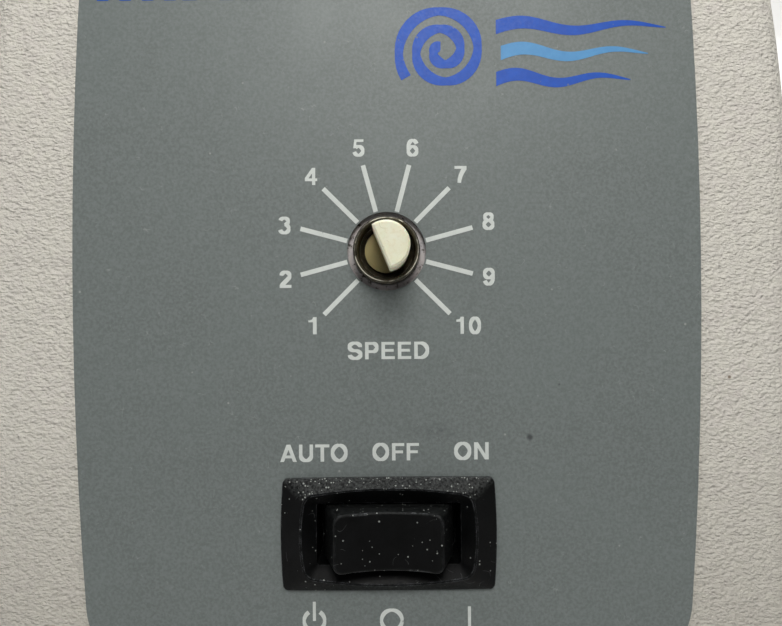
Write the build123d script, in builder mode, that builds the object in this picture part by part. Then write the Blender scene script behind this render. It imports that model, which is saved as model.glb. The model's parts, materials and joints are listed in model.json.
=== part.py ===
"""A bench vortex mixer: cast casing on feet, shaded-pole motor, eccentric head, rubber cup, front controls.

Millimetres, +Z up. The front faces -Y. The origin is on the bench, under the middle of the mixer.
"""

from build123d import *
import math
import os

# ---------------------------------------------------------------- driving dimensions
# Casing
BODY_WIDTH = 122.0
TOE_Y = -82.5  # front edge of the casing
REAR_Y = 80.5  # rear wall of the casing
RIM_Z = 10.0  # lower rim of the casing
TOE_HEIGHT = 7.0  # upright strip under the sloping front
CASING_TOP_Z = 131.0
FRONT_LEAN = 27.0  # degrees between the front and upright
REAR_KNEE_Z = 70.0
REAR_LEAN = 6.0  # degrees between the upper rear and upright
SHOULDER_Z = 77.0  # the sides are upright below this and curve in above it
SIDE_CURVE_RADIUS = 198.5
TOE_RADIUS = 12.0
FRONT_TOP_RADIUS = 10.0
REAR_TOP_RADIUS = 14.0
KNEE_RADIUS = 40.0
SIDE_EDGE_RADIUS = 4.5
WALL = 4.5

# Base plate, feet and their screws
PLATE_THICKNESS = 2.0
PLATE_RECESS = 1.0  # the plate sits this far inside the rim
PLATE_GAP = 0.5
FOOT_INSET = 13.0  # from the casing's outside to a foot's centre
FOOT_SPREAD = 0.3  # how far a foot spreads under the rim, at the bench
FOOT_TAPER = 4.0
FOOT_RECESS_RADIUS = 4.8
FOOT_RECESS_DEPTH = 4.5
BOSS_MERGE = 0.5  # a boss runs this far into the wall beside it
BOSS_HEIGHT = 27.0
FOOT_SCREW_RADIUS = 2.0
FOOT_SCREW_GRIP = 14.0  # thread inside the boss
FOOT_SCREW_HEAD = (4.0, 2.4)  # radius and height
FOOT_EDGE = 1.2
VENT_LENGTH = 22.0
VENT_WIDTH = 3.0
VENT_PITCH = 6.0
VENT_COUNT = 6
VENT_CENTRE = (-36.0, -40.0)

# Clearances
SCREW_GAP = 0.05  # thread in its tapped hole
HOLE_GAP = 0.2  # plain hole round a screw or pin
PRESS_GAP = 0.02  # ring pressed in its seat
RUNNING_GAP = 0.04  # shaft in its bearing
SEAT_GAP = 0.3  # housing cut-out round a fitted part
STACK_GAP = 0.1  # between parts stacked on one axis
THREAD_END_GAP = 1.0  # tapped hole beyond the end of its screw

# Screws that hold the collar and the inlet, and the small screws inside
COVER_SCREW_RADIUS = 1.5
SCREW_TIP_GAP = 0.6  # a cover screw ends this far short of the wall's inside
BOARD_SCREW_RADIUS = 1.25
BOARD_SCREW_HEAD = (2.4, 1.6)
BOARD_SCREW_LENGTH = 5.0

# Front overlay
OVERLAY_THICKNESS = 0.4
OVERLAY_MID_HALF_WIDTH = 45.9
OVERLAY_TOP_HALF_WIDTH = 43.5
OVERLAY_FOOT_HALF_WIDTH = 43.4
OVERLAY_ABOVE = 53.0  # top edge above the speed shaft, up the slope
OVERLAY_BELOW = 63.0
OVERLAY_CORNER = 12.0
OVERLAY_FOOT_MARGIN = 4.5  # from the toe's corner to the overlay's lower edge

# Speed control
SHAFT_RADIUS = 3.175
SHAFT_FLAT = 0.76  # the flat's distance from the axis
SHAFT_TIP = 10.4  # above the overlay
SHAFT_END_GAP = 0.3
SHAFT_CHAMFER = 0.3
SHAFT_FLAT_BEARING = -112.2  # degrees clockwise from up-slope
BUSHING_RADIUS = 4.7625
BUSHING_RISE = 3.0
BUSHING_BORE_RADIUS = SHAFT_RADIUS + RUNNING_GAP
BUSHING_MOUTH_WALL = 0.5625
BUSHING_MOUTH_RADIUS = BUSHING_RADIUS - BUSHING_MOUTH_WALL
BUSHING_MOUTH_DEPTH = 3.2
THREAD_PITCH = 0.79
THREAD_DEPTH = 0.3
OVERLAY_SHAFT_HOLE = 5.75
NUT_ACROSS_FLATS = 12.7
NUT_THICKNESS = 1.6
NUT_POCKET_RADIUS = 8.0
NUT_POCKET_DEPTH = 2.7
WASHER_RADIUS = 7.2
WASHER_THICKNESS = 0.5
POT_RADIUS = 12.0
POT_DEPTH = 12.0
POT_BORE_DEPTH = 9.0
POT_EDGE = 0.8
POT_TERMINAL = (2.6, 0.7, 6.0)
POT_TERMINAL_PITCH = 5.0
NUT_CHAMFER = 0.2
NUT_TURN = 11.0  # degrees, as it was left when tightened
THREAD_START = 0.4  # plain length below the first thread
THREAD_RUNOUT = 0.35  # plain length above the last thread
BUSHING_CHAMFER = 0.2
MOUTH_TAPER_SHARE = 0.254  # of the step from the mouth down to the bore
BUSHING_MOUTH_TAPER = MOUTH_TAPER_SHARE * (BUSHING_MOUTH_RADIUS - BUSHING_BORE_RADIUS)
BUSHING_LIP = 0.25

# Rocker switch
SWITCH_DROP = 41.1  # below the speed shaft, down the slope
BEZEL_HALF = (15.7, 8.2)
BEZEL_EDGE = 0.5
BEZEL_BULGE = (0.35, 0.1)
BEZEL_CORNER = 0.8
RIDGE_HALF = (12.8, 7.0)
RIDGE_BULGE = (0.7, 1.0)
RIDGE_RISE = 2.0
RIDGE_WIDTH = 0.25
RIDGE_CORNER = 2.0
WELL_HALF = (10.5, 4.5)
WELL_RIM = 0.4
WELL_BULGE = (0.02, 0.02)
WELL_CORNER = 0.4
WELL_DEPTH = 8.0
CASE_HALF = (13.9, 6.4)
CASE_DEPTH = 20.0
PADDLE_END = (7.6, 5.6)  # half length and height of the paddle's raised ends
PADDLE_MIDDLE = 3.8
PADDLE_HALF_WIDTH = 4.15
PADDLE_EDGE = 0.35
PADDLE_CORNER = 1.3  # seen square to the front
PADDLE_SKIRT = 9.3  # half length below the raised ends
PADDLE_SKIRT_LEVELS = (0.2, -1.5)
PADDLE_KEEL = (6.0, -5.5)  # half length and level of the underside
PIVOT_DEPTH = 3.5
PIVOT_RADIUS = 1.25
PIVOT_LENGTH = 1.3
PIVOT_END_GAP = 0.2
SWITCH_BLADE = (0.8, 4.8, 8.0)
SWITCH_BLADE_PITCH = 8.5

# Motor
MOTOR_Y = 24.0
MOTOR_SHAFT_RADIUS = 4.0
STACK_FOOT_Z = 50.0
STACK_HEIGHT = 30.0
STACK_SIDE = 76.0
WINDOW_SIDE = 62.0
WINDOW_CORNER = 8.0
ROTOR_RADIUS = 20.0
AIR_GAP = 0.4
SHOE_THICKNESS = 3.0
SHOE_HALF_ANGLE = 57.0
POLE_WIDTH = 20.0
MOTOR_BOLT_OFFSET = 32.0
MOTOR_BOLT_RADIUS = 2.0
MOTOR_BOLT_HEAD = (3.8, 2.6)
MOUNT_SCREW_HEAD = (3.8, 2.4)
MOUNT_SCREW_GRIP = 7.0
MOTOR_MOUNT_RADIUS = 7.0
MOTOR_MOUNT_HEIGHT = 10.0
BRACKET_PLATE = 4.0
BRACKET_ARM_WIDTH = 11.0
BRACKET_COLUMN_RADIUS = 6.0
BRACKET_HUB_WALL = 4.0
LOWER_BRACKET_Z = 34.0
UPPER_BRACKET_Z = 94.0
BEARING_RADIUS = 7.0
BEARING_LENGTH = 11.0
BEARING_BOSS_RADIUS = 11.0
LOWER_BOSS_DROP = 2.0  # a bearing boss below its bracket
UPPER_BOSS_DROP = 1.5
STACK_CORNER = 5.0
YOKE_OVERLAP = 1.0  # a pole runs this far into the yoke
SHADE_ANGLE = 49.0
SHADE_HALF_OPENING = 4.6
SHADE_WIDTH = 2.2
SHADE_LIFT = 1.4  # from the bore to a shading ring
SHADE_NOTCH_DEPTH = 4.4
SHADE_CORNER = 1.5
COIL_GAP = 0.6  # between a coil and its pole shoe
BOBBIN_FIT = 0.3  # sleeve on its pole, both sides together
BOBBIN_WALL = 1.5
BOBBIN_CHEEK = 0.8
BOBBIN_REACH = (16.0, 17.0)  # cheek beyond the pole, width and height
COIL_CORNER = 4.0
CAGE_BARS = 16
CAGE_BAR_RADIUS = 1.4
CAGE_BAR_DEPTH = 2.8  # from the rotor's surface to a bar's centre
CAGE_RING_HEIGHT = 3.0
CAGE_RING_WIDTH = 6.5
CAGE_RING_STEP = 0.5
FAN_RADIUS = 19.0
FAN_BLADES = 9
FAN_SHEET = 1.2
FAN_HUB_WALL = 3.0
FAN_LIFT = 0.8
FAN_BLADE_TURN = 12.0
FAN_BLADE_DROP = 2.4  # blades end this far below the hub's top
THRUST_WASHER = (8.5, 1.0)

# Touch mechanism
TOUCH_TRAVEL = 2.5
SHAFT_FOOT_Z = 30.0
SHAFT_FOOT_EDGE = 1.5
SHAFT_TOP_RECESS = 1.0  # shaft end below the hub's top
PAD_RADIUS = 10.5
PAD_THICKNESS = 4.0
PAD_EDGE = 1.0
PLUNGER_RADIUS = 3.0
SPRING_RADIUS = 6.8
SPRING_WIRE = 0.5
SPRING_TURNS = 4
LEVER_PIVOT_X = 30.0
LEVER_TIP_X = 8.3
LEVER_GAP = 0.35
LEVER_THICKNESS = 0.5
LEVER_WIDTH = 4.4
LEVER_EYE_RADIUS = 1.05
LEVER_PIN_RADIUS = 0.5
GUIDE_FLANGE = 1.5
GUIDE_WIDTH = 16.0
GUIDE_WALL = 2.0
GUIDE_CLEARANCE = 1.5  # left above the guide when the pad is pressed
GUIDE_SCREW_PITCH = 30.0
PLUNGER_CLEARANCE = 0.8  # left under the plunger when it is pressed
TOUCH_SWITCH_X = 23.0
TOUCH_SWITCH_LIFT = 1.5
TOUCH_SWITCH_SIZE = (20.0, 6.4, 8.2)
TOUCH_SWITCH_CORNER = 0.6
TOUCH_BUTTON = (20.0, 1.0, 0.8)  # place, radius and height
TOUCH_EAR = (3.0, 0.7)
TOUCH_EAR_OFFSET = 2.5
TOUCH_SCREW_RADIUS = 1.1
TOUCH_SCREW_PITCH = 9.5
TOUCH_SCREW_LEVEL = 3.0  # above the underside of the switch
TOUCH_SCREW_LENGTH = 9.0
TOUCH_SCREW_HEAD = (2.0, 1.4)
GUIDE_SCREW_RADIUS = 1.25
GUIDE_SCREW_HEAD = (2.2, 1.5)
BRACKET_SHEET = 1.2
BRACKET_WIDTH = 18.0
BRACKET_FOOT = 12.0
BRACKET_RISE = 9.0
BRACKET_SCREW_Y = 8.0

# Eccentric and head
ECCENTRICITY = 3.0
HUB_RADIUS = 15.0
HUB_DROP = 23.5  # underside of the hub below the casing's top
HUB_HEIGHT = 11.5
HUB_CHAMFER = 0.6
CRANK_RADIUS = 4.0
CRANK_SHOULDER = 3.0
CRANK_STEP = 1.6
CRANK_END = 1.6  # crank pin beyond the bearing
CLIP_GROOVE = (0.6, 0.9)  # depth and width
CLIP_LIP = 1.8
CLIP_THICKNESS = 0.8
SET_SCREW_RADIUS = 2.0
SET_SCREW_LENGTH = 8.0
SET_SCREW_SOCKET = (1.0, 2.5)
WEIGHT_REACH = 11.0
WEIGHT_SPAN = 150.0
WEIGHT_INSET = 0.8
BALL_RACE_WIDTH = 7.0
BALL_RACE_RADIUS = 11.0
BALL_RADIUS = 1.9
BALL_COUNT = 8
SOCKET_WALL = 3.0
SOCKET_SKIRT = 0.6  # socket below the bearing
SOCKET_STEP = 2.0  # shoulder over the bearing's outer ring
CRANK_CLEARANCE = 0.8  # free height above the crank pin
FLANGE_RADIUS = 20.0
FLANGE_LIFT = 1.0  # head flange above the casing's top
FLANGE_THICKNESS = 4.5
FLANGE_EDGE = 1.2
POST_RADIUS = 9.0
POST_LENGTH = 16.0
POST_CHAMFER = 1.0
TOP_OPENING_RADIUS = 30.0
COLLAR_RADIUS = 42.0
COLLAR_HEIGHT = 6.0
COLLAR_HOLE_RADIUS = 25.0
COLLAR_SCREW_CIRCLE = 35.0
COLLAR_SCREW_RECESS = (3.2, 2.2)
COLLAR_SCREW_HEAD = (2.8, 1.8)
COLLAR_SKIRT = (0.4, 2.2)  # how far the upright edge leans in, and its height
COLLAR_SLOPE = 4.5
COLLAR_LIP = 1.5
COLLAR_EDGE = 0.15
BOOT_SHEET = 1.2
BOOT_RIM_HEIGHT = 2.6
BOOT_RIM_WIDTH = 3.0
BOOT_NECK = (1.5, 3.5)

# Cup
CUP_LIFT = 1.5  # underside of the cup above the flange
CUP_HEIGHT = 27.0
CUP_WAIST = (1.8, 2.0)  # how far the waist draws in, and its place below mid-height
CUP_SHOULDER = 3.0
CUP_RIM_FLAT = 1.2
CUP_FOOT_RADIUS = 18.0
CUP_TOP_RADIUS = 19.5
CUP_RIM_RADIUS = 16.0
CUP_DIMPLE_DEPTH = 9.0

# Power inlet
INLET_Z = 36.0
INLET_FLANGE = (50.0, 24.0, 2.0)
INLET_BODY = (27.0, 20.0)
INLET_DEPTH = 19.0
INLET_SOCKET = (24.4, 16.4)
INLET_SOCKET_DEPTH = 17.0
INLET_SCREW_PITCH = 40.0
INLET_PIN = (2.0, 4.0, 12.0)
INLET_SCREW_HEAD = (2.7, 1.2)
INLET_CORNER = 5.0
INLET_SOCKET_CORNER = 4.0
INLET_PIN_TAIL = 7.0
INLET_PIN_SPREAD = 7.0

# Control board
BOARD_SIZE = (32.0, 42.0)
BOARD_CENTRE = (35.0, -37.0)
BOARD_THICKNESS = 1.6
STANDOFF_HEIGHT = 6.0
STANDOFF_RADIUS = 3.0
BOARD_HOLE_MARGIN = 7.0
HEATSINK_SIZE = (18.0, 1.5, 20.0)
HEATSINK_FIN = (1.2, 8.0)
HEATSINK_FIN_PITCH = 5.5
HEATSINK_Y = 12.0
TRIAC_BODY = (10.0, 4.4, 9.0)
TRIAC_TAB = (1.2, 15.0)
TRIAC_Y = 9.0
TRIAC_LIFT = 4.0
TRIAC_LEG = (0.8, 0.6)
TRIAC_LEG_PITCH = 2.54
CAPACITOR_SIZE = (9.0, 18.0, 15.0)
CAPACITOR_PLACE = (7.0, -3.0)
CAPACITOR_CORNER = 0.8
CAPACITOR_EDGE = 0.6
CHOKE_RADII = (7.0, 3.0)
CHOKE_HEIGHT = 7.0
CHOKE_PLACE = (-7.0, -4.0)
CHOKE_EDGE = 1.2
BLOCK_SIZE = (16.0, 7.0, 9.0)
BLOCK_Y = -16.4
BLOCK_WELL = (1.6, 3.0)
BLOCK_PITCH = 5.0

# ---------------------------------------------------------------- derived places
SLOPE = math.radians(FRONT_LEAN)
TOE_Z = RIM_Z + TOE_HEIGHT
TOP_FRONT_Y = TOE_Y + (CASING_TOP_Z - TOE_Z) * math.tan(SLOPE)
TOP_REAR_Y = REAR_Y - (CASING_TOP_Z - REAR_KNEE_Z) * math.tan(math.radians(REAR_LEAN))
PLATE_FOOT_Z = RIM_Z + PLATE_RECESS
PLATE_TOP_Z = PLATE_FOOT_Z + PLATE_THICKNESS
STACK_TOP_Z = STACK_FOOT_Z + STACK_HEIGHT
COLLAR_TOP_Z = CASING_TOP_Z + COLLAR_HEIGHT
HUB_FOOT_Z = CASING_TOP_Z - HUB_DROP
HUB_TOP_Z = HUB_FOOT_Z + HUB_HEIGHT
RACE_FOOT_Z = HUB_TOP_Z + CRANK_SHOULDER
RACE_TOP_Z = RACE_FOOT_Z + BALL_RACE_WIDTH
FLANGE_Z = CASING_TOP_Z + FLANGE_LIFT
FLANGE_TOP_Z = FLANGE_Z + FLANGE_THICKNESS
POST_TOP_Z = FLANGE_TOP_Z + POST_LENGTH
CUP_FOOT_Z = FLANGE_TOP_Z + CUP_LIFT
CUP_TOP_Z = CUP_FOOT_Z + CUP_HEIGHT

UP_SLOPE = Vector(0, math.sin(SLOPE), math.cos(SLOPE))
OUT_OF_FACE = Vector(0, -math.cos(SLOPE), math.sin(SLOPE))
AXIS_UP_FACE = OVERLAY_FOOT_MARGIN + OVERLAY_BELOW
AXIS_POINT = Vector(0, TOE_Y, TOE_Z) + UP_SLOPE * AXIS_UP_FACE + OUT_OF_FACE * OVERLAY_THICKNESS

BOSS_RADIUS = FOOT_INSET - WALL + BOSS_MERGE
FOOT_RADIUS = FOOT_INSET - WALL + FOOT_SPREAD
FOOT_X = BODY_WIDTH / 2 - FOOT_INSET
FOOT_FRONT_Y = TOE_Y + FOOT_INSET
FOOT_REAR_Y = REAR_Y - FOOT_INSET
FOOT_POINTS = [(x * FOOT_X, y) for x in (-1, 1) for y in (FOOT_FRONT_Y, FOOT_REAR_Y)]
MOTOR_CORNERS = [
    (x * MOTOR_BOLT_OFFSET, MOTOR_Y + y * MOTOR_BOLT_OFFSET)
    for x in (-1, 1)
    for y in (-1, 1)
]

os.makedirs("parts", exist_ok=True)


def face_plane(across=0.0, up=0.0, out=0.0):
    """A plane parallel to the overlay's surface, from the speed shaft's axis; up is up the slope."""
    centre = AXIS_POINT + Vector(across, 0, 0) + UP_SLOPE * up + OUT_OF_FACE * out
    return Plane(origin=centre, x_dir=(1, 0, 0), z_dir=OUT_OF_FACE)


def level(z, x=0.0, y=0.0):
    """A level plane at height z, with its origin over (x, y)."""
    return Plane(origin=(x, y, z), x_dir=(1, 0, 0), z_dir=(0, 0, 1))


def motor_level(z, x=0.0):
    """A level plane centred on the motor's axis."""
    return level(z, x, MOTOR_Y)


def save(part, name):
    """Labels a finished piece and writes it to its own file."""
    part.label = name
    export_step(part, f"parts/{name}.step")


def disc(plane, radius, height, bore=0.0):
    """A washer, tube or plain disc standing on the plane."""
    with BuildPart() as ring:
        with BuildSketch(plane):
            Circle(radius)
            if bore > 0:
                Circle(bore, mode=Mode.SUBTRACT)
        extrude(amount=height)
    return ring.part


def pan_screws(planes, radius, length, head_radius, head_height):
    """Cross-head screws: each plane is the underside of a head, the shank goes down from it."""
    with BuildPart() as screws:
        for plane in planes:
            with BuildSketch(plane):
                Circle(head_radius)
            extrude(amount=head_height, taper=12)
            with BuildSketch(plane):
                Circle(radius)
            extrude(amount=-length)
            with BuildSketch(plane.offset(head_height)):
                Rectangle(head_radius * 1.1, head_radius * 0.22)
                Rectangle(head_radius * 0.22, head_radius * 1.1)
            extrude(amount=-head_height * 0.6, mode=Mode.SUBTRACT)
    return screws.part


# ---------------------------------------------------------------- casing
def casing_block(foot_z, inset):
    """The casing's outer shape, moved in all round by inset: a side outline crossed with a front outline."""
    with BuildPart() as block:
        with BuildSketch(Plane.YZ):
            with BuildLine():
                outline = FilletPolyline(
                    (TOE_Y, foot_z),
                    (TOE_Y, TOE_Z),
                    (TOP_FRONT_Y, CASING_TOP_Z),
                    (TOP_REAR_Y, CASING_TOP_Z),
                    (REAR_Y, REAR_KNEE_Z),
                    (REAR_Y, foot_z),
                    radius=[TOE_RADIUS, FRONT_TOP_RADIUS, REAR_TOP_RADIUS, KNEE_RADIUS],
                )
                Line(outline @ 1, outline @ 0)
            make_face()
            if inset > 0:
                offset(amount=-inset, kind=Kind.INTERSECTION)
        extrude(amount=BODY_WIDTH, both=True)
        half_width = BODY_WIDTH / 2 - inset
        curve = SIDE_CURVE_RADIUS - inset
        top_z = CASING_TOP_Z + inset
        sweep_angle = math.degrees(math.asin((top_z - SHOULDER_Z) / curve))
        with BuildSketch(Plane.XZ):
            with BuildLine():
                foot = Line((0, foot_z), (half_width, foot_z))
                side = Line(foot @ 1, (half_width, SHOULDER_Z))
                arc = CenterArc((half_width - curve, SHOULDER_Z), curve, 0, sweep_angle)
                Line(arc @ 1, (0, top_z))
                mirror(about=Plane.YZ)
            make_face()
        extrude(amount=BODY_WIDTH, both=True, mode=Mode.INTERSECT)
    return block.part


def is_side_edge(edge):
    """True for the edges where the casing's sides meet its front, top and rear."""
    middle = edge.center()
    off_centre = abs(middle.X) > BODY_WIDTH / 4
    above_rim = middle.Z > RIM_Z + 0.1
    box = edge.bounding_box()
    on_shoulder = box.max.Z - box.min.Z < 0.01 and abs(middle.Z - SHOULDER_Z) < 0.01
    return off_centre and above_rim and not on_shoulder


with BuildPart() as cavity:
    add(casing_block(RIM_Z - 3 * WALL, WALL))
    with BuildSketch(level(PLATE_TOP_Z)):
        with Locations(*FOOT_POINTS):
            Circle(BOSS_RADIUS)
    extrude(amount=BOSS_HEIGHT, mode=Mode.SUBTRACT)

with BuildPart() as housing:
    add(casing_block(RIM_Z, 0))
    fillet(housing.edges().filter_by(is_side_edge), radius=SIDE_EDGE_RADIUS)
    add(cavity.part, mode=Mode.SUBTRACT)
    # tapped holes for the foot screws
    with BuildSketch(level(PLATE_TOP_Z)):
        with Locations(*FOOT_POINTS):
            Circle(FOOT_SCREW_RADIUS + SCREW_GAP)
    extrude(amount=FOOT_SCREW_GRIP + THREAD_END_GAP, mode=Mode.SUBTRACT)
    # hole and nut pocket of the speed control
    with BuildSketch(face_plane()):
        Circle(BUSHING_RADIUS + HOLE_GAP)
    extrude(amount=-2 * WALL, both=True, mode=Mode.SUBTRACT)
    with BuildSketch(face_plane(out=-OVERLAY_THICKNESS)):
        Circle(NUT_POCKET_RADIUS)
    extrude(amount=-NUT_POCKET_DEPTH, mode=Mode.SUBTRACT)
    # switch cut-out
    with BuildSketch(face_plane(up=-SWITCH_DROP)):
        Rectangle(2 * (CASE_HALF[0] + SEAT_GAP), 2 * (CASE_HALF[1] + SEAT_GAP))
    extrude(amount=-2 * WALL, both=True, mode=Mode.SUBTRACT)
    # opening for the head, and the tapped holes of its collar
    with BuildSketch(motor_level(CASING_TOP_Z)):
        Circle(TOP_OPENING_RADIUS)
    extrude(amount=-2 * WALL, mode=Mode.SUBTRACT)
    with BuildSketch(motor_level(CASING_TOP_Z)):
        with PolarLocations(COLLAR_SCREW_CIRCLE, 4, start_angle=45):
            Circle(COVER_SCREW_RADIUS + SCREW_GAP)
    extrude(amount=-WALL, mode=Mode.SUBTRACT)
    # inlet cut-out and its screw holes
    with BuildSketch(Plane.XZ.offset(-REAR_Y)):
        with Locations((0, INLET_Z)):
            Rectangle(INLET_BODY[0] + 2 * SEAT_GAP, INLET_BODY[1] + 2 * SEAT_GAP)
            with GridLocations(INLET_SCREW_PITCH, 1, 2, 1):
                Circle(COVER_SCREW_RADIUS + SCREW_GAP)
    extrude(amount=2 * WALL, both=True, mode=Mode.SUBTRACT)
save(housing.part, "housing")

with BuildPart() as base_plate:
    with BuildSketch(level(PLATE_FOOT_Z)):
        front_y = TOE_Y + WALL + PLATE_GAP
        rear_y = REAR_Y - WALL - PLATE_GAP
        with Locations((0, (front_y + rear_y) / 2)):
            RectangleRounded(BODY_WIDTH - 2 * (WALL + PLATE_GAP), rear_y - front_y, 2)
        with Locations(*FOOT_POINTS):
            Circle(FOOT_SCREW_RADIUS + HOLE_GAP, mode=Mode.SUBTRACT)
        with Locations(*MOTOR_CORNERS):
            Circle(MOTOR_BOLT_RADIUS + HOLE_GAP, mode=Mode.SUBTRACT)
        with Locations(VENT_CENTRE):
            with GridLocations(1, VENT_PITCH, 1, VENT_COUNT):
                SlotOverall(VENT_LENGTH, VENT_WIDTH, mode=Mode.SUBTRACT)
    extrude(amount=PLATE_THICKNESS)
save(base_plate.part, "base_plate")

with BuildPart() as rubber_feet:
    with BuildSketch(level(0)):
        with Locations(*FOOT_POINTS):
            Circle(FOOT_RADIUS)
    extrude(amount=PLATE_FOOT_Z, taper=FOOT_TAPER)
    fillet(rubber_feet.edges().group_by(Axis.Z)[0], radius=FOOT_EDGE)
    with BuildSketch(level(0)):
        with Locations(*FOOT_POINTS):
            Circle(FOOT_RECESS_RADIUS)
    extrude(amount=FOOT_RECESS_DEPTH, mode=Mode.SUBTRACT)
    with BuildSketch(level(0)):
        with Locations(*FOOT_POINTS):
            Circle(FOOT_SCREW_RADIUS + HOLE_GAP)
    extrude(amount=PLATE_FOOT_Z, mode=Mode.SUBTRACT)
save(rubber_feet.part, "rubber_feet")

foot_screw_planes = [
    Plane(origin=(x, y, FOOT_RECESS_DEPTH), x_dir=(1, 0, 0), z_dir=(0, 0, -1))
    for x, y in FOOT_POINTS
]
foot_screw_length = PLATE_TOP_Z + FOOT_SCREW_GRIP - FOOT_RECESS_DEPTH
save(pan_screws(foot_screw_planes, FOOT_SCREW_RADIUS, foot_screw_length, *FOOT_SCREW_HEAD), "foot_screws")

# ---------------------------------------------------------------- front overlay
with BuildPart() as overlay:
    with BuildSketch(face_plane(out=-OVERLAY_THICKNESS)) as sheet:
        with BuildLine():
            side = ThreePointArc(
                (OVERLAY_FOOT_HALF_WIDTH, -OVERLAY_BELOW),
                (OVERLAY_MID_HALF_WIDTH, 0),
                (OVERLAY_TOP_HALF_WIDTH, OVERLAY_ABOVE),
            )
            Line(side @ 1, (0, OVERLAY_ABOVE))
            Line((0, -OVERLAY_BELOW), side @ 0)
            mirror(about=Plane.YZ)
        make_face()
        corners = [v for v in sheet.vertices() if abs(v.X) > OVERLAY_TOP_HALF_WIDTH / 2]
        fillet(corners, radius=OVERLAY_CORNER)
        Circle(OVERLAY_SHAFT_HOLE, mode=Mode.SUBTRACT)
        with Locations((0, -SWITCH_DROP)):
            Rectangle(
                2 * (CASE_HALF[0] + SEAT_GAP),
                2 * (CASE_HALF[1] + SEAT_GAP),
                mode=Mode.SUBTRACT,
            )
    extrude(amount=OVERLAY_THICKNESS)
save(overlay.part, "front_overlay")


# ---------------------------------------------------------------- rocker switch
def barrel(half, bulge, corner):
    """A rectangle with bowed sides: half sizes at the middles, less by bulge at the corners."""
    x, y = half
    cx = x - bulge[0]
    cy = y - bulge[1]
    with BuildSketch() as outline:
        with BuildLine():
            ThreePointArc((cx, -cy), (x, 0), (cx, cy))
            ThreePointArc((cx, cy), (0, y), (-cx, cy))
            ThreePointArc((-cx, cy), (-x, 0), (-cx, -cy))
            ThreePointArc((-cx, -cy), (0, -y), (cx, -cy))
        make_face()
        fillet(outline.vertices(), radius=corner)
    return outline.sketch


switch_face = face_plane(up=-SWITCH_DROP)
ridge_inner = (RIDGE_HALF[0] - RIDGE_WIDTH, RIDGE_HALF[1] - RIDGE_WIDTH)
with BuildPart() as switch_case:
    with BuildSketch(switch_face):
        add(barrel(BEZEL_HALF, BEZEL_BULGE, BEZEL_CORNER))
    extrude(amount=BEZEL_EDGE)
    with BuildSketch(switch_face.offset(BEZEL_EDGE)):
        add(barrel(BEZEL_HALF, BEZEL_BULGE, BEZEL_CORNER))
    with BuildSketch(switch_face.offset(RIDGE_RISE)):
        add(barrel(RIDGE_HALF, RIDGE_BULGE, RIDGE_CORNER))
    loft()
    with BuildSketch(switch_face):
        Rectangle(2 * CASE_HALF[0], 2 * CASE_HALF[1])
    extrude(amount=-CASE_DEPTH)
    with BuildSketch(switch_face.offset(RIDGE_RISE)):
        add(barrel(ridge_inner, RIDGE_BULGE, RIDGE_CORNER - RIDGE_WIDTH))
    with BuildSketch(switch_face.offset(WELL_RIM)):
        add(barrel(WELL_HALF, WELL_BULGE, WELL_CORNER))
    loft(mode=Mode.SUBTRACT)
    with BuildSketch(switch_face.offset(WELL_RIM)):
        add(barrel(WELL_HALF, WELL_BULGE, WELL_CORNER))
    extrude(amount=-WELL_RIM - WELL_DEPTH, mode=Mode.SUBTRACT)
    # blind holes for the paddle's pivots, in the two long walls
    with BuildSketch(Plane(switch_face.offset(-PIVOT_DEPTH).origin, x_dir=(1, 0, 0), z_dir=UP_SLOPE)):
        Circle(PIVOT_RADIUS + RUNNING_GAP)
    extrude(amount=WELL_HALF[1] + PIVOT_LENGTH, both=True, mode=Mode.SUBTRACT)
save(switch_case.part, "switch_case")



def is_raised_edge(edge):
    """True for the paddle's edges that stand above the overlay."""
    return face_plane().to_local_coords(edge.center()).Z > (PADDLE_MIDDLE + PADDLE_SKIRT_LEVELS[0]) / 2


def is_end_corner(edge):
    """True for the paddle's four slanted corner edges."""
    middle = switch_face.to_local_coords(edge.center())
    at_end = PADDLE_END[0] < abs(middle.X) < PADDLE_SKIRT
    at_side = abs(middle.Y) > PADDLE_HALF_WIDTH - PADDLE_EDGE
    return at_end and at_side and middle.Z > PADDLE_SKIRT_LEVELS[0]


paddle_plane = Plane(switch_face.origin, x_dir=(1, 0, 0), z_dir=-UP_SLOPE)
with BuildPart() as paddle:
    with BuildSketch(paddle_plane):
        with BuildLine():
            top = ThreePointArc((-PADDLE_END[0], PADDLE_END[1]), (0, PADDLE_MIDDLE), PADDLE_END)
            Polyline(
                top @ 1,
                (PADDLE_SKIRT, PADDLE_SKIRT_LEVELS[0]),
                (PADDLE_SKIRT, PADDLE_SKIRT_LEVELS[1]),
                PADDLE_KEEL,
                (-PADDLE_KEEL[0], PADDLE_KEEL[1]),
                (-PADDLE_SKIRT, PADDLE_SKIRT_LEVELS[1]),
                (-PADDLE_SKIRT, PADDLE_SKIRT_LEVELS[0]),
                top @ 0,
            )
        make_face()
    extrude(amount=PADDLE_HALF_WIDTH, both=True)
    fillet(paddle.edges().filter_by(is_end_corner), radius=PADDLE_CORNER)
    raised = paddle.edges().filter_by(is_raised_edge)
    fillet(raised, radius=PADDLE_EDGE)
    pivot_plane = Plane(switch_face.offset(-PIVOT_DEPTH).origin, x_dir=(1, 0, 0), z_dir=UP_SLOPE)
    with BuildSketch(pivot_plane):
        Circle(PIVOT_RADIUS)
    extrude(amount=WELL_HALF[1] + PIVOT_LENGTH - PIVOT_END_GAP, both=True)
save(paddle.part, "switch_paddle")

with BuildPart() as switch_terminals:
    with BuildSketch(switch_face.offset(-CASE_DEPTH)):
        with GridLocations(SWITCH_BLADE_PITCH, 1, 3, 1):
            Rectangle(SWITCH_BLADE[0], SWITCH_BLADE[1])
    extrude(amount=-SWITCH_BLADE[2])
save(switch_terminals.part, "switch_terminals")

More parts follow.
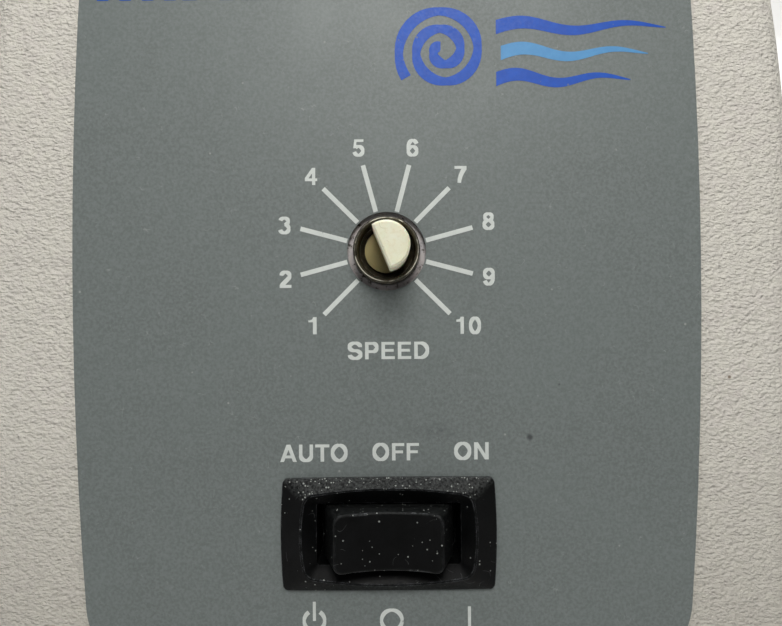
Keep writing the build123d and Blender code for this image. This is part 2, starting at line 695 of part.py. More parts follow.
# ---------------------------------------------------------------- speed control
wall_inside = face_plane(out=-OVERLAY_THICKNESS - WALL)
bushing_length = OVERLAY_THICKNESS + WALL + BUSHING_RISE
thread_count = int((bushing_length - THREAD_PITCH - THREAD_START) / THREAD_PITCH)

with BuildPart() as pot_body:
    with BuildSketch(wall_inside):
        Circle(POT_RADIUS)
    extrude(amount=-POT_DEPTH)
    fillet(pot_body.edges().filter_by(GeomType.CIRCLE), radius=POT_EDGE)
    with BuildSketch(wall_inside):
        Circle(SHAFT_RADIUS + RUNNING_GAP)
    extrude(amount=-POT_BORE_DEPTH, mode=Mode.SUBTRACT)
save(pot_body.part, "pot_body")

bushing_section = Plane(wall_inside.origin, x_dir=(1, 0, 0), z_dir=-UP_SLOPE)
with BuildPart() as pot_bushing:
    with BuildSketch(bushing_section):
        with BuildLine():
            root = BUSHING_RADIUS - THREAD_DEPTH
            points = [(BUSHING_BORE_RADIUS, 0), (root, 0)]
            for turn in range(thread_count):
                crest = THREAD_START + (turn + 0.5) * THREAD_PITCH
                points.append((root, crest - THREAD_PITCH / 2))
                points.append((BUSHING_RADIUS, crest))
            points.append((root, THREAD_START + thread_count * THREAD_PITCH))
            points.append((BUSHING_RADIUS, bushing_length - THREAD_RUNOUT))
            points.append((BUSHING_RADIUS - BUSHING_CHAMFER, bushing_length))
            points.append((BUSHING_MOUTH_RADIUS + BUSHING_LIP, bushing_length))
            points.append((BUSHING_MOUTH_RADIUS, bushing_length - BUSHING_LIP))
            mouth_foot = bushing_length - BUSHING_MOUTH_DEPTH
            points.append((BUSHING_MOUTH_RADIUS - BUSHING_MOUTH_TAPER, mouth_foot))
            points.append((BUSHING_BORE_RADIUS, mouth_foot - THREAD_START))
            Polyline(*points, close=True)
        make_face()
    revolve(axis=Axis(wall_inside.origin, OUT_OF_FACE))
save(pot_bushing.part, "pot_bushing")

pocket_floor = face_plane(out=-OVERLAY_THICKNESS - NUT_POCKET_DEPTH)
save(disc(pocket_floor, WASHER_RADIUS, WASHER_THICKNESS, BUSHING_RADIUS + SCREW_GAP), "pot_washer")

with BuildPart() as pot_nut:
    with BuildSketch(pocket_floor.offset(WASHER_THICKNESS)):
        RegularPolygon(NUT_ACROSS_FLATS / 2, 6, major_radius=False, rotation=NUT_TURN)
        Circle(BUSHING_RADIUS + SCREW_GAP, mode=Mode.SUBTRACT)
    extrude(amount=NUT_THICKNESS)
    chamfer(pot_nut.faces().sort_by(Axis(pocket_floor.origin, OUT_OF_FACE))[-1].edges(), length=NUT_CHAMFER)
save(pot_nut.part, "pot_nut")

flat_bearing = math.radians(SHAFT_FLAT_BEARING)
flat_across = math.sin(flat_bearing)
flat_up = math.cos(flat_bearing)
flat_normal = Vector(flat_across, 0, 0) + UP_SLOPE * flat_up
with BuildPart() as pot_shaft:
    shaft_foot = wall_inside.offset(SHAFT_END_GAP - POT_BORE_DEPTH)
    shaft_length = POT_BORE_DEPTH - SHAFT_END_GAP + WALL + OVERLAY_THICKNESS + SHAFT_TIP
    with BuildSketch(shaft_foot):
        Circle(SHAFT_RADIUS)
    extrude(amount=shaft_length)
    flat_plane = Plane(AXIS_POINT + flat_normal * SHAFT_FLAT, x_dir=OUT_OF_FACE, z_dir=flat_normal)
    with BuildSketch(flat_plane):
        with Locations((SHAFT_TIP, 0)):
            Rectangle(2 * SHAFT_TIP, 4 * SHAFT_RADIUS)
    extrude(amount=SHAFT_RADIUS, mode=Mode.SUBTRACT)
    tip = pot_shaft.faces().sort_by(Axis(wall_inside.origin, OUT_OF_FACE))[-1]
    chamfer(tip.edges(), length=SHAFT_CHAMFER)
save(pot_shaft.part, "pot_shaft")

with BuildPart() as pot_terminals:
    with BuildSketch(wall_inside.offset(-POT_DEPTH)):
        with Locations((0, -POT_RADIUS / 2)):
            with GridLocations(POT_TERMINAL_PITCH, 1, 3, 1):
                Rectangle(POT_TERMINAL[0], POT_TERMINAL[1])
    extrude(amount=-POT_TERMINAL[2])
save(pot_terminals.part, "pot_terminals")


# ---------------------------------------------------------------- motor frame
def spider(plate_z, column_foot_z, column_top_z):
    """A motor bracket: a hub, four diagonal arms and a column at each corner."""
    reach = 2 * math.sqrt(2) * MOTOR_BOLT_OFFSET
    with BuildPart() as bracket:
        with BuildSketch(motor_level(plate_z)):
            Circle(BEARING_BOSS_RADIUS + BRACKET_HUB_WALL)
            Rectangle(reach, BRACKET_ARM_WIDTH, rotation=45)
            Rectangle(reach, BRACKET_ARM_WIDTH, rotation=-45)
        extrude(amount=BRACKET_PLATE)
        with BuildSketch(level(column_foot_z)):
            with Locations(*MOTOR_CORNERS):
                Circle(BRACKET_COLUMN_RADIUS)
        extrude(amount=column_top_z - column_foot_z)
    return bracket.part


lower_boss_z = LOWER_BRACKET_Z - LOWER_BOSS_DROP
upper_boss_z = UPPER_BRACKET_Z - UPPER_BOSS_DROP
mount_top_z = PLATE_TOP_Z + MOTOR_MOUNT_HEIGHT
bolt_foot_z = LOWER_BRACKET_Z
with BuildPart() as lower_bracket:
    add(spider(LOWER_BRACKET_Z, mount_top_z, STACK_FOOT_Z))
    with BuildSketch(motor_level(lower_boss_z)):
        Circle(BEARING_BOSS_RADIUS)
    extrude(amount=BEARING_LENGTH)
    with BuildSketch(motor_level(lower_boss_z)):
        Circle(BEARING_RADIUS + PRESS_GAP)
    extrude(amount=BEARING_LENGTH, mode=Mode.SUBTRACT)
    with BuildSketch(level(STACK_FOOT_Z)):
        with Locations(*MOTOR_CORNERS):
            Circle(MOTOR_BOLT_RADIUS + SCREW_GAP)
    extrude(amount=bolt_foot_z - STACK_FOOT_Z, mode=Mode.SUBTRACT)
    with BuildSketch(level(mount_top_z)):
        with Locations(*MOTOR_CORNERS):
            Circle(MOTOR_BOLT_RADIUS + SCREW_GAP)
    extrude(amount=MOUNT_SCREW_GRIP + THREAD_END_GAP, mode=Mode.SUBTRACT)
save(lower_bracket.part, "motor_lower_bracket")

bolt_head_z = UPPER_BRACKET_Z + BRACKET_PLATE
with BuildPart() as upper_bracket:
    add(spider(UPPER_BRACKET_Z, STACK_TOP_Z, bolt_head_z))
    with BuildSketch(motor_level(upper_boss_z)):
        Circle(BEARING_BOSS_RADIUS)
    extrude(amount=BEARING_LENGTH)
    with BuildSketch(motor_level(upper_boss_z)):
        Circle(BEARING_RADIUS + PRESS_GAP)
    extrude(amount=BEARING_LENGTH, mode=Mode.SUBTRACT)
    with BuildSketch(level(STACK_TOP_Z)):
        with Locations(*MOTOR_CORNERS):
            Circle(MOTOR_BOLT_RADIUS + HOLE_GAP)
    extrude(amount=bolt_head_z - STACK_TOP_Z, mode=Mode.SUBTRACT)
save(upper_bracket.part, "motor_upper_bracket")

bearing_bore = MOTOR_SHAFT_RADIUS + RUNNING_GAP
save(disc(motor_level(lower_boss_z), BEARING_RADIUS, BEARING_LENGTH, bearing_bore), "lower_bearing")
save(disc(motor_level(upper_boss_z), BEARING_RADIUS, BEARING_LENGTH, bearing_bore), "upper_bearing")

bolt_planes = [level(bolt_head_z, x, y) for x, y in MOTOR_CORNERS]
bolt_length = bolt_head_z - bolt_foot_z - THREAD_END_GAP
save(pan_screws(bolt_planes, MOTOR_BOLT_RADIUS, bolt_length, *MOTOR_BOLT_HEAD), "motor_bolts")

with BuildPart() as motor_mounts:
    with BuildSketch(level(PLATE_TOP_Z)):
        with Locations(*MOTOR_CORNERS):
            Circle(MOTOR_MOUNT_RADIUS)
            Circle(MOTOR_BOLT_RADIUS + HOLE_GAP, mode=Mode.SUBTRACT)
    extrude(amount=MOTOR_MOUNT_HEIGHT)
save(motor_mounts.part, "motor_mounts")

mount_screw_planes = [
    Plane(origin=(x, y, PLATE_FOOT_Z), x_dir=(1, 0, 0), z_dir=(0, 0, -1)) for x, y in MOTOR_CORNERS
]
mount_screw_length = mount_top_z + MOUNT_SCREW_GRIP - PLATE_FOOT_Z
mount_screws = pan_screws(mount_screw_planes, MOTOR_BOLT_RADIUS, mount_screw_length, *MOUNT_SCREW_HEAD)
save(mount_screws, "mount_screws")

# ---------------------------------------------------------------- stator
bore_radius = ROTOR_RADIUS + AIR_GAP
shoe_radius = bore_radius + SHOE_THICKNESS
with BuildPart() as stator:
    with BuildSketch(motor_level(STACK_FOOT_Z)):
        RectangleRounded(STACK_SIDE, STACK_SIDE, STACK_CORNER)
        RectangleRounded(WINDOW_SIDE, WINDOW_SIDE, WINDOW_CORNER, mode=Mode.SUBTRACT)
        Rectangle(WINDOW_SIDE + 2 * YOKE_OVERLAP, POLE_WIDTH)
        with BuildLine():
            for start in (-SHOE_HALF_ANGLE, 180 - SHOE_HALF_ANGLE):
                outer = CenterArc((0, 0), shoe_radius, start, 2 * SHOE_HALF_ANGLE)
                inner = CenterArc((0, 0), bore_radius - 1, start, 2 * SHOE_HALF_ANGLE)
                Line(outer @ 0, inner @ 0)
                Line(outer @ 1, inner @ 1)
        make_face()
        Circle(bore_radius, mode=Mode.SUBTRACT)
        with GridLocations(2 * MOTOR_BOLT_OFFSET, 2 * MOTOR_BOLT_OFFSET, 2, 2):
            Circle(MOTOR_BOLT_RADIUS + HOLE_GAP, mode=Mode.SUBTRACT)
        # notches for the shading rings
        for pole in (0, 180):
            turn = math.radians(pole + SHADE_ANGLE)
            along = SHADE_HALF_OPENING + SHADE_WIDTH / 2
            middle = bore_radius + SHADE_LIFT + SHADE_NOTCH_DEPTH / 2 - HOLE_GAP
            notch_x = middle * math.cos(turn) + along * math.sin(turn)
            notch_y = middle * math.sin(turn) - along * math.cos(turn)
            with Locations((notch_x, notch_y)):
                Rectangle(
                    SHADE_NOTCH_DEPTH,
                    SHADE_WIDTH + 2 * HOLE_GAP,
                    rotation=pole + SHADE_ANGLE,
                    mode=Mode.SUBTRACT,
                )
    extrude(amount=STACK_HEIGHT)
save(stator.part, "stator_core")

with BuildPart() as shading_rings:
    for pole in (0, 180):
        turn = math.radians(pole + SHADE_ANGLE)
        outward = Vector(math.cos(turn), math.sin(turn), 0)
        middle = Vector(0, MOTOR_Y, STACK_FOOT_Z + STACK_HEIGHT / 2)
        ring_plane = Plane(
            middle + outward * (bore_radius + SHADE_LIFT),
            x_dir=(-outward.Y, outward.X, 0),
            z_dir=outward,
        )
        with BuildSketch(ring_plane):
            outer_width = 2 * (SHADE_HALF_OPENING + SHADE_WIDTH)
            RectangleRounded(outer_width, STACK_HEIGHT + 2 * (SHADE_WIDTH + HOLE_GAP), SHADE_CORNER)
            Rectangle(2 * SHADE_HALF_OPENING, STACK_HEIGHT + 2 * HOLE_GAP, mode=Mode.SUBTRACT)
        extrude(amount=SHADE_WIDTH)
save(shading_rings.part, "shading_rings")

coil_foot_x = shoe_radius + COIL_GAP
coil_depth = WINDOW_SIDE / 2 - BOBBIN_FIT - coil_foot_x
coil_middle_z = STACK_FOOT_Z + STACK_HEIGHT / 2
coil_planes = [
    Plane((side * coil_foot_x, MOTOR_Y, coil_middle_z), x_dir=(0, 1, 0), z_dir=(side, 0, 0))
    for side in (-1, 1)
]
sleeve_inside = (POLE_WIDTH + BOBBIN_FIT, STACK_HEIGHT + BOBBIN_FIT)
sleeve_outside = (sleeve_inside[0] + 2 * BOBBIN_WALL, sleeve_inside[1] + 2 * BOBBIN_WALL)
cheek = (POLE_WIDTH + BOBBIN_REACH[0], STACK_HEIGHT + BOBBIN_REACH[1])
with BuildPart() as bobbins:
    for plane in coil_planes:
        with BuildSketch(plane):
            Rectangle(*sleeve_outside)
            Rectangle(*sleeve_inside, mode=Mode.SUBTRACT)
        extrude(amount=coil_depth)
        for end in (0, coil_depth - BOBBIN_CHEEK):
            with BuildSketch(plane.offset(end)):
                RectangleRounded(*cheek, COIL_CORNER)
                Rectangle(*sleeve_inside, mode=Mode.SUBTRACT)
            extrude(amount=BOBBIN_CHEEK)
save(bobbins.part, "coil_bobbins")

with BuildPart() as coils:
    for plane in coil_planes:
        with BuildSketch(plane.offset(BOBBIN_CHEEK + STACK_GAP)):
            RectangleRounded(cheek[0] - 1, cheek[1] - 1, COIL_CORNER)
            Rectangle(sleeve_outside[0] + STACK_GAP, sleeve_outside[1] + STACK_GAP, mode=Mode.SUBTRACT)
        extrude(amount=coil_depth - 2 * (BOBBIN_CHEEK + STACK_GAP))
save(coils.part, "field_coils")

# ---------------------------------------------------------------- rotor
shaft_top_z = HUB_TOP_Z - SHAFT_TOP_RECESS
with BuildPart() as motor_shaft:
    with BuildSketch(motor_level(SHAFT_FOOT_Z)):
        Circle(MOTOR_SHAFT_RADIUS)
    extrude(amount=shaft_top_z - SHAFT_FOOT_Z)
    fillet(motor_shaft.edges().group_by(Axis.Z)[0], radius=SHAFT_FOOT_EDGE)
save(motor_shaft.part, "motor_shaft")

bar_circle = ROTOR_RADIUS - CAGE_BAR_DEPTH
with BuildPart() as rotor_core:
    with BuildSketch(motor_level(STACK_FOOT_Z)):
        Circle(ROTOR_RADIUS)
        Circle(MOTOR_SHAFT_RADIUS + PRESS_GAP, mode=Mode.SUBTRACT)
        with PolarLocations(bar_circle, CAGE_BARS):
            Circle(CAGE_BAR_RADIUS + PRESS_GAP, mode=Mode.SUBTRACT)
    extrude(amount=STACK_HEIGHT)
save(rotor_core.part, "rotor_core")

with BuildPart() as rotor_cage:
    for ring_z in (STACK_FOOT_Z - CAGE_RING_HEIGHT, STACK_TOP_Z):
        with BuildSketch(motor_level(ring_z)):
            Circle(ROTOR_RADIUS - CAGE_RING_STEP)
            Circle(ROTOR_RADIUS - CAGE_RING_STEP - CAGE_RING_WIDTH, mode=Mode.SUBTRACT)
        extrude(amount=CAGE_RING_HEIGHT)
    with BuildSketch(motor_level(STACK_FOOT_Z)):
        with PolarLocations(bar_circle, CAGE_BARS):
            Circle(CAGE_BAR_RADIUS)
    extrude(amount=STACK_HEIGHT)
save(rotor_cage.part, "rotor_cage")

washer_z = upper_boss_z - THRUST_WASHER[1] - STACK_GAP
fan_foot_z = STACK_TOP_Z + CAGE_RING_HEIGHT + FAN_LIFT
fan_height = washer_z - fan_foot_z - STACK_GAP
fan_hub_radius = MOTOR_SHAFT_RADIUS + FAN_HUB_WALL
blade_inner = fan_hub_radius - 1  # the blades start inside the hub
blade_outer = FAN_RADIUS
with BuildPart() as fan:
    with BuildSketch(motor_level(fan_foot_z)):
        Circle(FAN_RADIUS)
    extrude(amount=FAN_SHEET)
    with BuildSketch(motor_level(fan_foot_z)):
        Circle(fan_hub_radius)
    extrude(amount=fan_height)
    with BuildSketch(motor_level(fan_foot_z + FAN_SHEET)):
        with PolarLocations((blade_outer + blade_inner) / 2, FAN_BLADES):
            Rectangle(blade_outer - blade_inner - HOLE_GAP, FAN_SHEET, rotation=FAN_BLADE_TURN)
    extrude(amount=fan_height - FAN_BLADE_DROP)
    with BuildSketch(motor_level(fan_foot_z)):
        Circle(MOTOR_SHAFT_RADIUS + PRESS_GAP)
    extrude(amount=fan_height, mode=Mode.SUBTRACT)
save(fan.part, "cooling_fan")
save(disc(motor_level(washer_z), *THRUST_WASHER, MOTOR_SHAFT_RADIUS + PRESS_GAP), "thrust_washer")

# ---------------------------------------------------------------- eccentric
crank_top_z = RACE_TOP_Z + CRANK_END
clip_z = RACE_TOP_Z + 2 * STACK_GAP
set_screw_z = HUB_FOOT_Z + HUB_HEIGHT / 2
set_screw_plane = Plane((MOTOR_SHAFT_RADIUS, MOTOR_Y, set_screw_z), x_dir=(0, 1, 0), z_dir=(1, 0, 0))
with BuildPart() as hub:
    with BuildSketch(motor_level(HUB_FOOT_Z)):
        Circle(HUB_RADIUS)
    extrude(amount=HUB_HEIGHT)
    chamfer(hub.edges(), length=HUB_CHAMFER)
    with BuildSketch(motor_level(HUB_TOP_Z, ECCENTRICITY)):
        Circle(CRANK_RADIUS + CRANK_STEP)
    extrude(amount=CRANK_SHOULDER)
    with BuildSketch(motor_level(HUB_TOP_Z, ECCENTRICITY)):
        Circle(CRANK_RADIUS)
    extrude(amount=crank_top_z - HUB_TOP_Z)
    with BuildSketch(motor_level(clip_z - SCREW_GAP, ECCENTRICITY)):
        Circle(CRANK_RADIUS)
        Circle(CRANK_RADIUS - CLIP_GROOVE[0], mode=Mode.SUBTRACT)
    extrude(amount=CLIP_GROOVE[1], mode=Mode.SUBTRACT)
    with BuildSketch(motor_level(HUB_FOOT_Z)):
        Circle(MOTOR_SHAFT_RADIUS + PRESS_GAP)
    extrude(amount=shaft_top_z + HOLE_GAP - HUB_FOOT_Z, mode=Mode.SUBTRACT)
    with BuildSketch(set_screw_plane):
        Circle(SET_SCREW_RADIUS + SCREW_GAP)
    extrude(amount=HUB_RADIUS, mode=Mode.SUBTRACT)
save(hub.part, "eccentric_hub")

with BuildPart() as set_screw:
    with BuildSketch(set_screw_plane.offset(STACK_GAP)):
        Circle(SET_SCREW_RADIUS)
    extrude(amount=SET_SCREW_LENGTH)
    with BuildSketch(set_screw_plane.offset(STACK_GAP + SET_SCREW_LENGTH)):
        RegularPolygon(SET_SCREW_SOCKET[0], 6)
    extrude(amount=-SET_SCREW_SOCKET[1], mode=Mode.SUBTRACT)
save(set_screw.part, "hub_set_screw")

weight_outer = HUB_RADIUS + WEIGHT_REACH
with BuildPart() as counterweight:
    with BuildSketch(motor_level(HUB_FOOT_Z + WEIGHT_INSET)):
        with BuildLine():
            start = 180 - WEIGHT_SPAN / 2
            outer = CenterArc((0, 0), weight_outer, start, WEIGHT_SPAN)
            inner = CenterArc((0, 0), HUB_RADIUS + PRESS_GAP, start, WEIGHT_SPAN)
            Line(outer @ 0, inner @ 0)
            Line(outer @ 1, inner @ 1)
        make_face()
    extrude(amount=HUB_HEIGHT - 2 * WEIGHT_INSET)
save(counterweight.part, "counterweight")

clip_bore = CRANK_RADIUS - CLIP_GROOVE[0] + SCREW_GAP
clip_radius = CRANK_RADIUS + CLIP_LIP
save(disc(motor_level(clip_z, ECCENTRICITY), clip_radius, CLIP_THICKNESS, clip_bore), "crank_clip")


# ---------------------------------------------------------------- head bearing
def ring_with_groove(inner_radius, outer_radius, groove_radius):
    """A bearing ring: a tube with a ball track cut round it."""
    with BuildPart() as ring:
        add(disc(motor_level(RACE_FOOT_Z, ECCENTRICITY), outer_radius, BALL_RACE_WIDTH, inner_radius))
        track = Plane((ECCENTRICITY, MOTOR_Y, RACE_FOOT_Z + BALL_RACE_WIDTH / 2), (1, 0, 0), (0, -1, 0))
        with BuildSketch(track):
            with Locations((ball_circle, 0)):
                Circle(groove_radius)
        revolve(axis=Axis(track.origin, (0, 0, 1)), mode=Mode.SUBTRACT)
    return ring.part


ball_circle = (CRANK_RADIUS + BALL_RACE_RADIUS) / 2
groove = BALL_RADIUS + RUNNING_GAP
inner_race_outer = ball_circle - BALL_RADIUS / 2
outer_race_inner = ball_circle + BALL_RADIUS / 2
save(ring_with_groove(CRANK_RADIUS + PRESS_GAP, inner_race_outer, groove), "head_bearing_inner")
save(ring_with_groove(outer_race_inner, BALL_RACE_RADIUS, groove), "head_bearing_outer")

with BuildPart() as balls:
    with Locations(motor_level(RACE_FOOT_Z + BALL_RACE_WIDTH / 2, ECCENTRICITY)):
        with PolarLocations(ball_circle, BALL_COUNT):
            Sphere(BALL_RADIUS)
save(balls.part, "head_bearing_balls")

# ---------------------------------------------------------------- head, boot and collar
socket_radius = BALL_RACE_RADIUS + SOCKET_WALL
socket_foot_z = RACE_FOOT_Z - SOCKET_SKIRT
socket_floor_z = crank_top_z + CRANK_CLEARANCE
with BuildPart() as head_post:
    with BuildSketch(motor_level(socket_foot_z, ECCENTRICITY)):
        Circle(socket_radius)
    extrude(amount=FLANGE_Z - socket_foot_z)
    with BuildSketch(motor_level(FLANGE_Z, ECCENTRICITY)):
        Circle(FLANGE_RADIUS)
    extrude(amount=FLANGE_THICKNESS)
    fillet(head_post.edges().group_by(Axis.Z)[-1], radius=FLANGE_EDGE)
    with BuildSketch(motor_level(FLANGE_TOP_Z, ECCENTRICITY)):
        Circle(POST_RADIUS)
    extrude(amount=POST_LENGTH)
    chamfer(head_post.edges().group_by(Axis.Z)[-1], length=POST_CHAMFER)
    with BuildSketch(motor_level(socket_foot_z, ECCENTRICITY)):
        Circle(BALL_RACE_RADIUS + PRESS_GAP)
    extrude(amount=RACE_TOP_Z + SCREW_GAP - socket_foot_z, mode=Mode.SUBTRACT)
    with BuildSketch(motor_level(RACE_TOP_Z, ECCENTRICITY)):
        Circle(BALL_RACE_RADIUS - SOCKET_STEP)
    extrude(amount=socket_floor_z - RACE_TOP_Z, mode=Mode.SUBTRACT)
save(head_post.part, "head_post")

boot_sheet_z = CASING_TOP_Z - BOOT_RIM_HEIGHT
boot_hole_radius = socket_radius + STACK_GAP
boot_radius = TOP_OPENING_RADIUS - HOLE_GAP
with BuildPart() as boot:
    with BuildSketch(motor_level(boot_sheet_z)):
        Circle(boot_radius)
        with Locations((ECCENTRICITY, 0)):
            Circle(boot_hole_radius, mode=Mode.SUBTRACT)
    extrude(amount=BOOT_SHEET)
    with BuildSketch(motor_level(boot_sheet_z)):
        Circle(boot_radius)
        Circle(TOP_OPENING_RADIUS - BOOT_RIM_WIDTH, mode=Mode.SUBTRACT)
    extrude(amount=BOOT_RIM_HEIGHT)
    with BuildSketch(motor_level(boot_sheet_z - BOOT_NECK[1], ECCENTRICITY)):
        Circle(socket_radius + BOOT_NECK[0])
        Circle(boot_hole_radius, mode=Mode.SUBTRACT)
    extrude(amount=BOOT_NECK[1])
save(boot.part, "head_boot")

collar_recess_z = COLLAR_TOP_Z - COLLAR_SCREW_RECESS[1]
collar_section = Plane((0, MOTOR_Y, 0), x_dir=(1, 0, 0), z_dir=(0, -1, 0))
with BuildPart() as collar:
    with BuildSketch(collar_section) as section:
        with BuildLine():
            Polyline(
                (COLLAR_HOLE_RADIUS, CASING_TOP_Z),
                (COLLAR_RADIUS, CASING_TOP_Z),
                (COLLAR_RADIUS - COLLAR_SKIRT[0], CASING_TOP_Z + COLLAR_SKIRT[1]),
                (COLLAR_RADIUS - COLLAR_SLOPE, COLLAR_TOP_Z),
                (COLLAR_HOLE_RADIUS + COLLAR_LIP, COLLAR_TOP_Z),
                (COLLAR_HOLE_RADIUS, COLLAR_TOP_Z - COLLAR_LIP),
                close=True,
            )
        make_face()
        fillet(section.vertices().sort_by(Axis.X)[-2:], radius=COLLAR_EDGE)
    revolve(axis=Axis((0, MOTOR_Y, 0), (0, 0, 1)))
    with BuildSketch(motor_level(CASING_TOP_Z)):
        with PolarLocations(COLLAR_SCREW_CIRCLE, 4, start_angle=45):
            Circle(COVER_SCREW_RADIUS + HOLE_GAP)
    extrude(amount=COLLAR_HEIGHT, mode=Mode.SUBTRACT)
    with BuildSketch(motor_level(collar_recess_z)):
        with PolarLocations(COLLAR_SCREW_CIRCLE, 4, start_angle=45):
            Circle(COLLAR_SCREW_RECESS[0])
    extrude(amount=COLLAR_HEIGHT, mode=Mode.SUBTRACT)
save(collar.part, "top_collar")

collar_screw_places = PolarLocations(COLLAR_SCREW_CIRCLE, 4, start_angle=45).local_locations
collar_screw_planes = [
    level(collar_recess_z, p.position.X, MOTOR_Y + p.position.Y) for p in collar_screw_places
]
collar_screw_length = collar_recess_z - CASING_TOP_Z + WALL - SCREW_TIP_GAP
collar_screws = pan_screws(collar_screw_planes, COVER_SCREW_RADIUS, collar_screw_length, *COLLAR_SCREW_HEAD)

# ---------------------------------------------------------------- cup
with BuildPart() as cup:
    cup_section = Plane((ECCENTRICITY, MOTOR_Y, 0), x_dir=(1, 0, 0), z_dir=(0, -1, 0))
    with BuildSketch(cup_section):
        with BuildLine():
            foot = Line((0, CUP_FOOT_Z), (CUP_FOOT_RADIUS, CUP_FOOT_Z))
            waist = ThreePointArc(
                foot @ 1,
                (CUP_FOOT_RADIUS - CUP_WAIST[0], (CUP_FOOT_Z + CUP_TOP_Z) / 2 - CUP_WAIST[1]),
                (CUP_TOP_RADIUS, CUP_TOP_Z - CUP_SHOULDER),
            )
            edge = ThreePointArc(
                waist @ 1,
                (CUP_TOP_RADIUS - CUP_SHOULDER / 6, CUP_TOP_Z - CUP_SHOULDER / 3),
                (CUP_RIM_RADIUS + CUP_RIM_FLAT, CUP_TOP_Z),
            )
            lip = Line(edge @ 1, (CUP_RIM_RADIUS, CUP_TOP_Z))
            dimple = TangentArc((0, CUP_TOP_Z - CUP_DIMPLE_DEPTH), lip @ 1, tangent=(1, 0))
            Line(dimple @ 0, foot @ 0)
        make_face()
    revolve(axis=Axis((ECCENTRICITY, MOTOR_Y, 0), (0, 0, 1)))
    with BuildSketch(motor_level(CUP_FOOT_Z, ECCENTRICITY)):
        Circle(POST_RADIUS + RUNNING_GAP)
    extrude(amount=POST_TOP_Z + SEAT_GAP - CUP_FOOT_Z, mode=Mode.SUBTRACT)
save(cup.part, "rubber_cup")

# ---------------------------------------------------------------- touch mechanism
pad_top_z = SHAFT_FOOT_Z - SCREW_GAP
pad_foot_z = pad_top_z - PAD_THICKNESS
plunger_foot_z = PLATE_TOP_Z + TOUCH_TRAVEL + PLUNGER_CLEARANCE
with BuildPart() as thrust_pad:
    with BuildSketch(motor_level(pad_foot_z)):
        Circle(PAD_RADIUS)
    extrude(amount=PAD_THICKNESS)
    fillet(thrust_pad.edges().group_by(Axis.Z)[-1], radius=PAD_EDGE)
    with BuildSketch(motor_level(plunger_foot_z)):
        Circle(PLUNGER_RADIUS)
    extrude(amount=pad_foot_z - plunger_foot_z)
save(thrust_pad.part, "thrust_pad")

guide_top_z = pad_foot_z - TOUCH_TRAVEL - GUIDE_CLEARANCE
with BuildPart() as thrust_guide:
    with BuildSketch(motor_level(PLATE_TOP_Z)):
        SlotCenterToCenter(GUIDE_SCREW_PITCH, GUIDE_WIDTH, rotation=90)
        with GridLocations(1, GUIDE_SCREW_PITCH, 1, 2):
            Circle(GUIDE_SCREW_RADIUS + HOLE_GAP, mode=Mode.SUBTRACT)
    extrude(amount=GUIDE_FLANGE)
    with BuildSketch(motor_level(PLATE_TOP_Z)):
        Circle(PLUNGER_RADIUS + GUIDE_WALL)
    extrude(amount=guide_top_z - PLATE_TOP_Z)
    with BuildSketch(motor_level(PLATE_TOP_Z)):
        Circle(PLUNGER_RADIUS + RUNNING_GAP)
    extrude(amount=guide_top_z - PLATE_TOP_Z, mode=Mode.SUBTRACT)
save(thrust_guide.part, "thrust_guide")

spring_foot_z = PLATE_TOP_Z + GUIDE_FLANGE + SPRING_WIRE + SCREW_GAP
spring_height = pad_foot_z - SPRING_WIRE - SCREW_GAP - spring_foot_z
with BuildPart() as thrust_spring:
    with BuildLine():
        coil_line = Helix(
            pitch=spring_height / SPRING_TURNS,
            height=spring_height,
            radius=SPRING_RADIUS,
            center=(0, MOTOR_Y, spring_foot_z),
        )
    with BuildSketch(Plane(origin=coil_line @ 0, z_dir=coil_line % 0)):
        Circle(SPRING_WIRE)
    sweep(path=coil_line, is_frenet=True)
save(thrust_spring.part, "thrust_spring")

switch_body_foot_z = PLATE_TOP_Z + TOUCH_SWITCH_LIFT
switch_body_top_z = switch_body_foot_z + TOUCH_SWITCH_SIZE[2]
lever_top_z = pad_foot_z - LEVER_GAP
lever_pivot_z = lever_top_z - LEVER_EYE_RADIUS
lever_pin = Plane((LEVER_PIVOT_X, MOTOR_Y, lever_pivot_z), (1, 0, 0), (0, -1, 0))
touch_screw_z = switch_body_foot_z + TOUCH_SCREW_LEVEL
switch_screw_plane = Plane((TOUCH_SWITCH_X, MOTOR_Y, touch_screw_z), (1, 0, 0), (0, -1, 0))
with BuildPart() as touch_switch:
    with BuildSketch(level(switch_body_foot_z, TOUCH_SWITCH_X, MOTOR_Y)):
        RectangleRounded(TOUCH_SWITCH_SIZE[0], TOUCH_SWITCH_SIZE[1], TOUCH_SWITCH_CORNER)
    extrude(amount=switch_body_top_z - switch_body_foot_z)
    with BuildSketch(level(switch_body_top_z, LEVER_PIVOT_X, MOTOR_Y)):
        with GridLocations(1, 2 * TOUCH_EAR_OFFSET + TOUCH_EAR[1], 1, 2):
            Rectangle(*TOUCH_EAR)
    extrude(amount=lever_pivot_z + 2 * LEVER_PIN_RADIUS - switch_body_top_z)
    with BuildSketch(level(switch_body_top_z, TOUCH_BUTTON[0], MOTOR_Y)):
        Circle(TOUCH_BUTTON[1])
    extrude(amount=TOUCH_BUTTON[2])
    with BuildSketch(lever_pin):
        Circle(LEVER_PIN_RADIUS + RUNNING_GAP)
    extrude(amount=TOUCH_SWITCH_SIZE[1], both=True, mode=Mode.SUBTRACT)
    with BuildSketch(switch_screw_plane):
        with GridLocations(TOUCH_SCREW_PITCH, 1, 2, 1):
            Circle(TOUCH_SCREW_RADIUS + HOLE_GAP)
    extrude(amount=TOUCH_SWITCH_SIZE[1], both=True, mode=Mode.SUBTRACT)
save(touch_switch.part, "touch_switch")

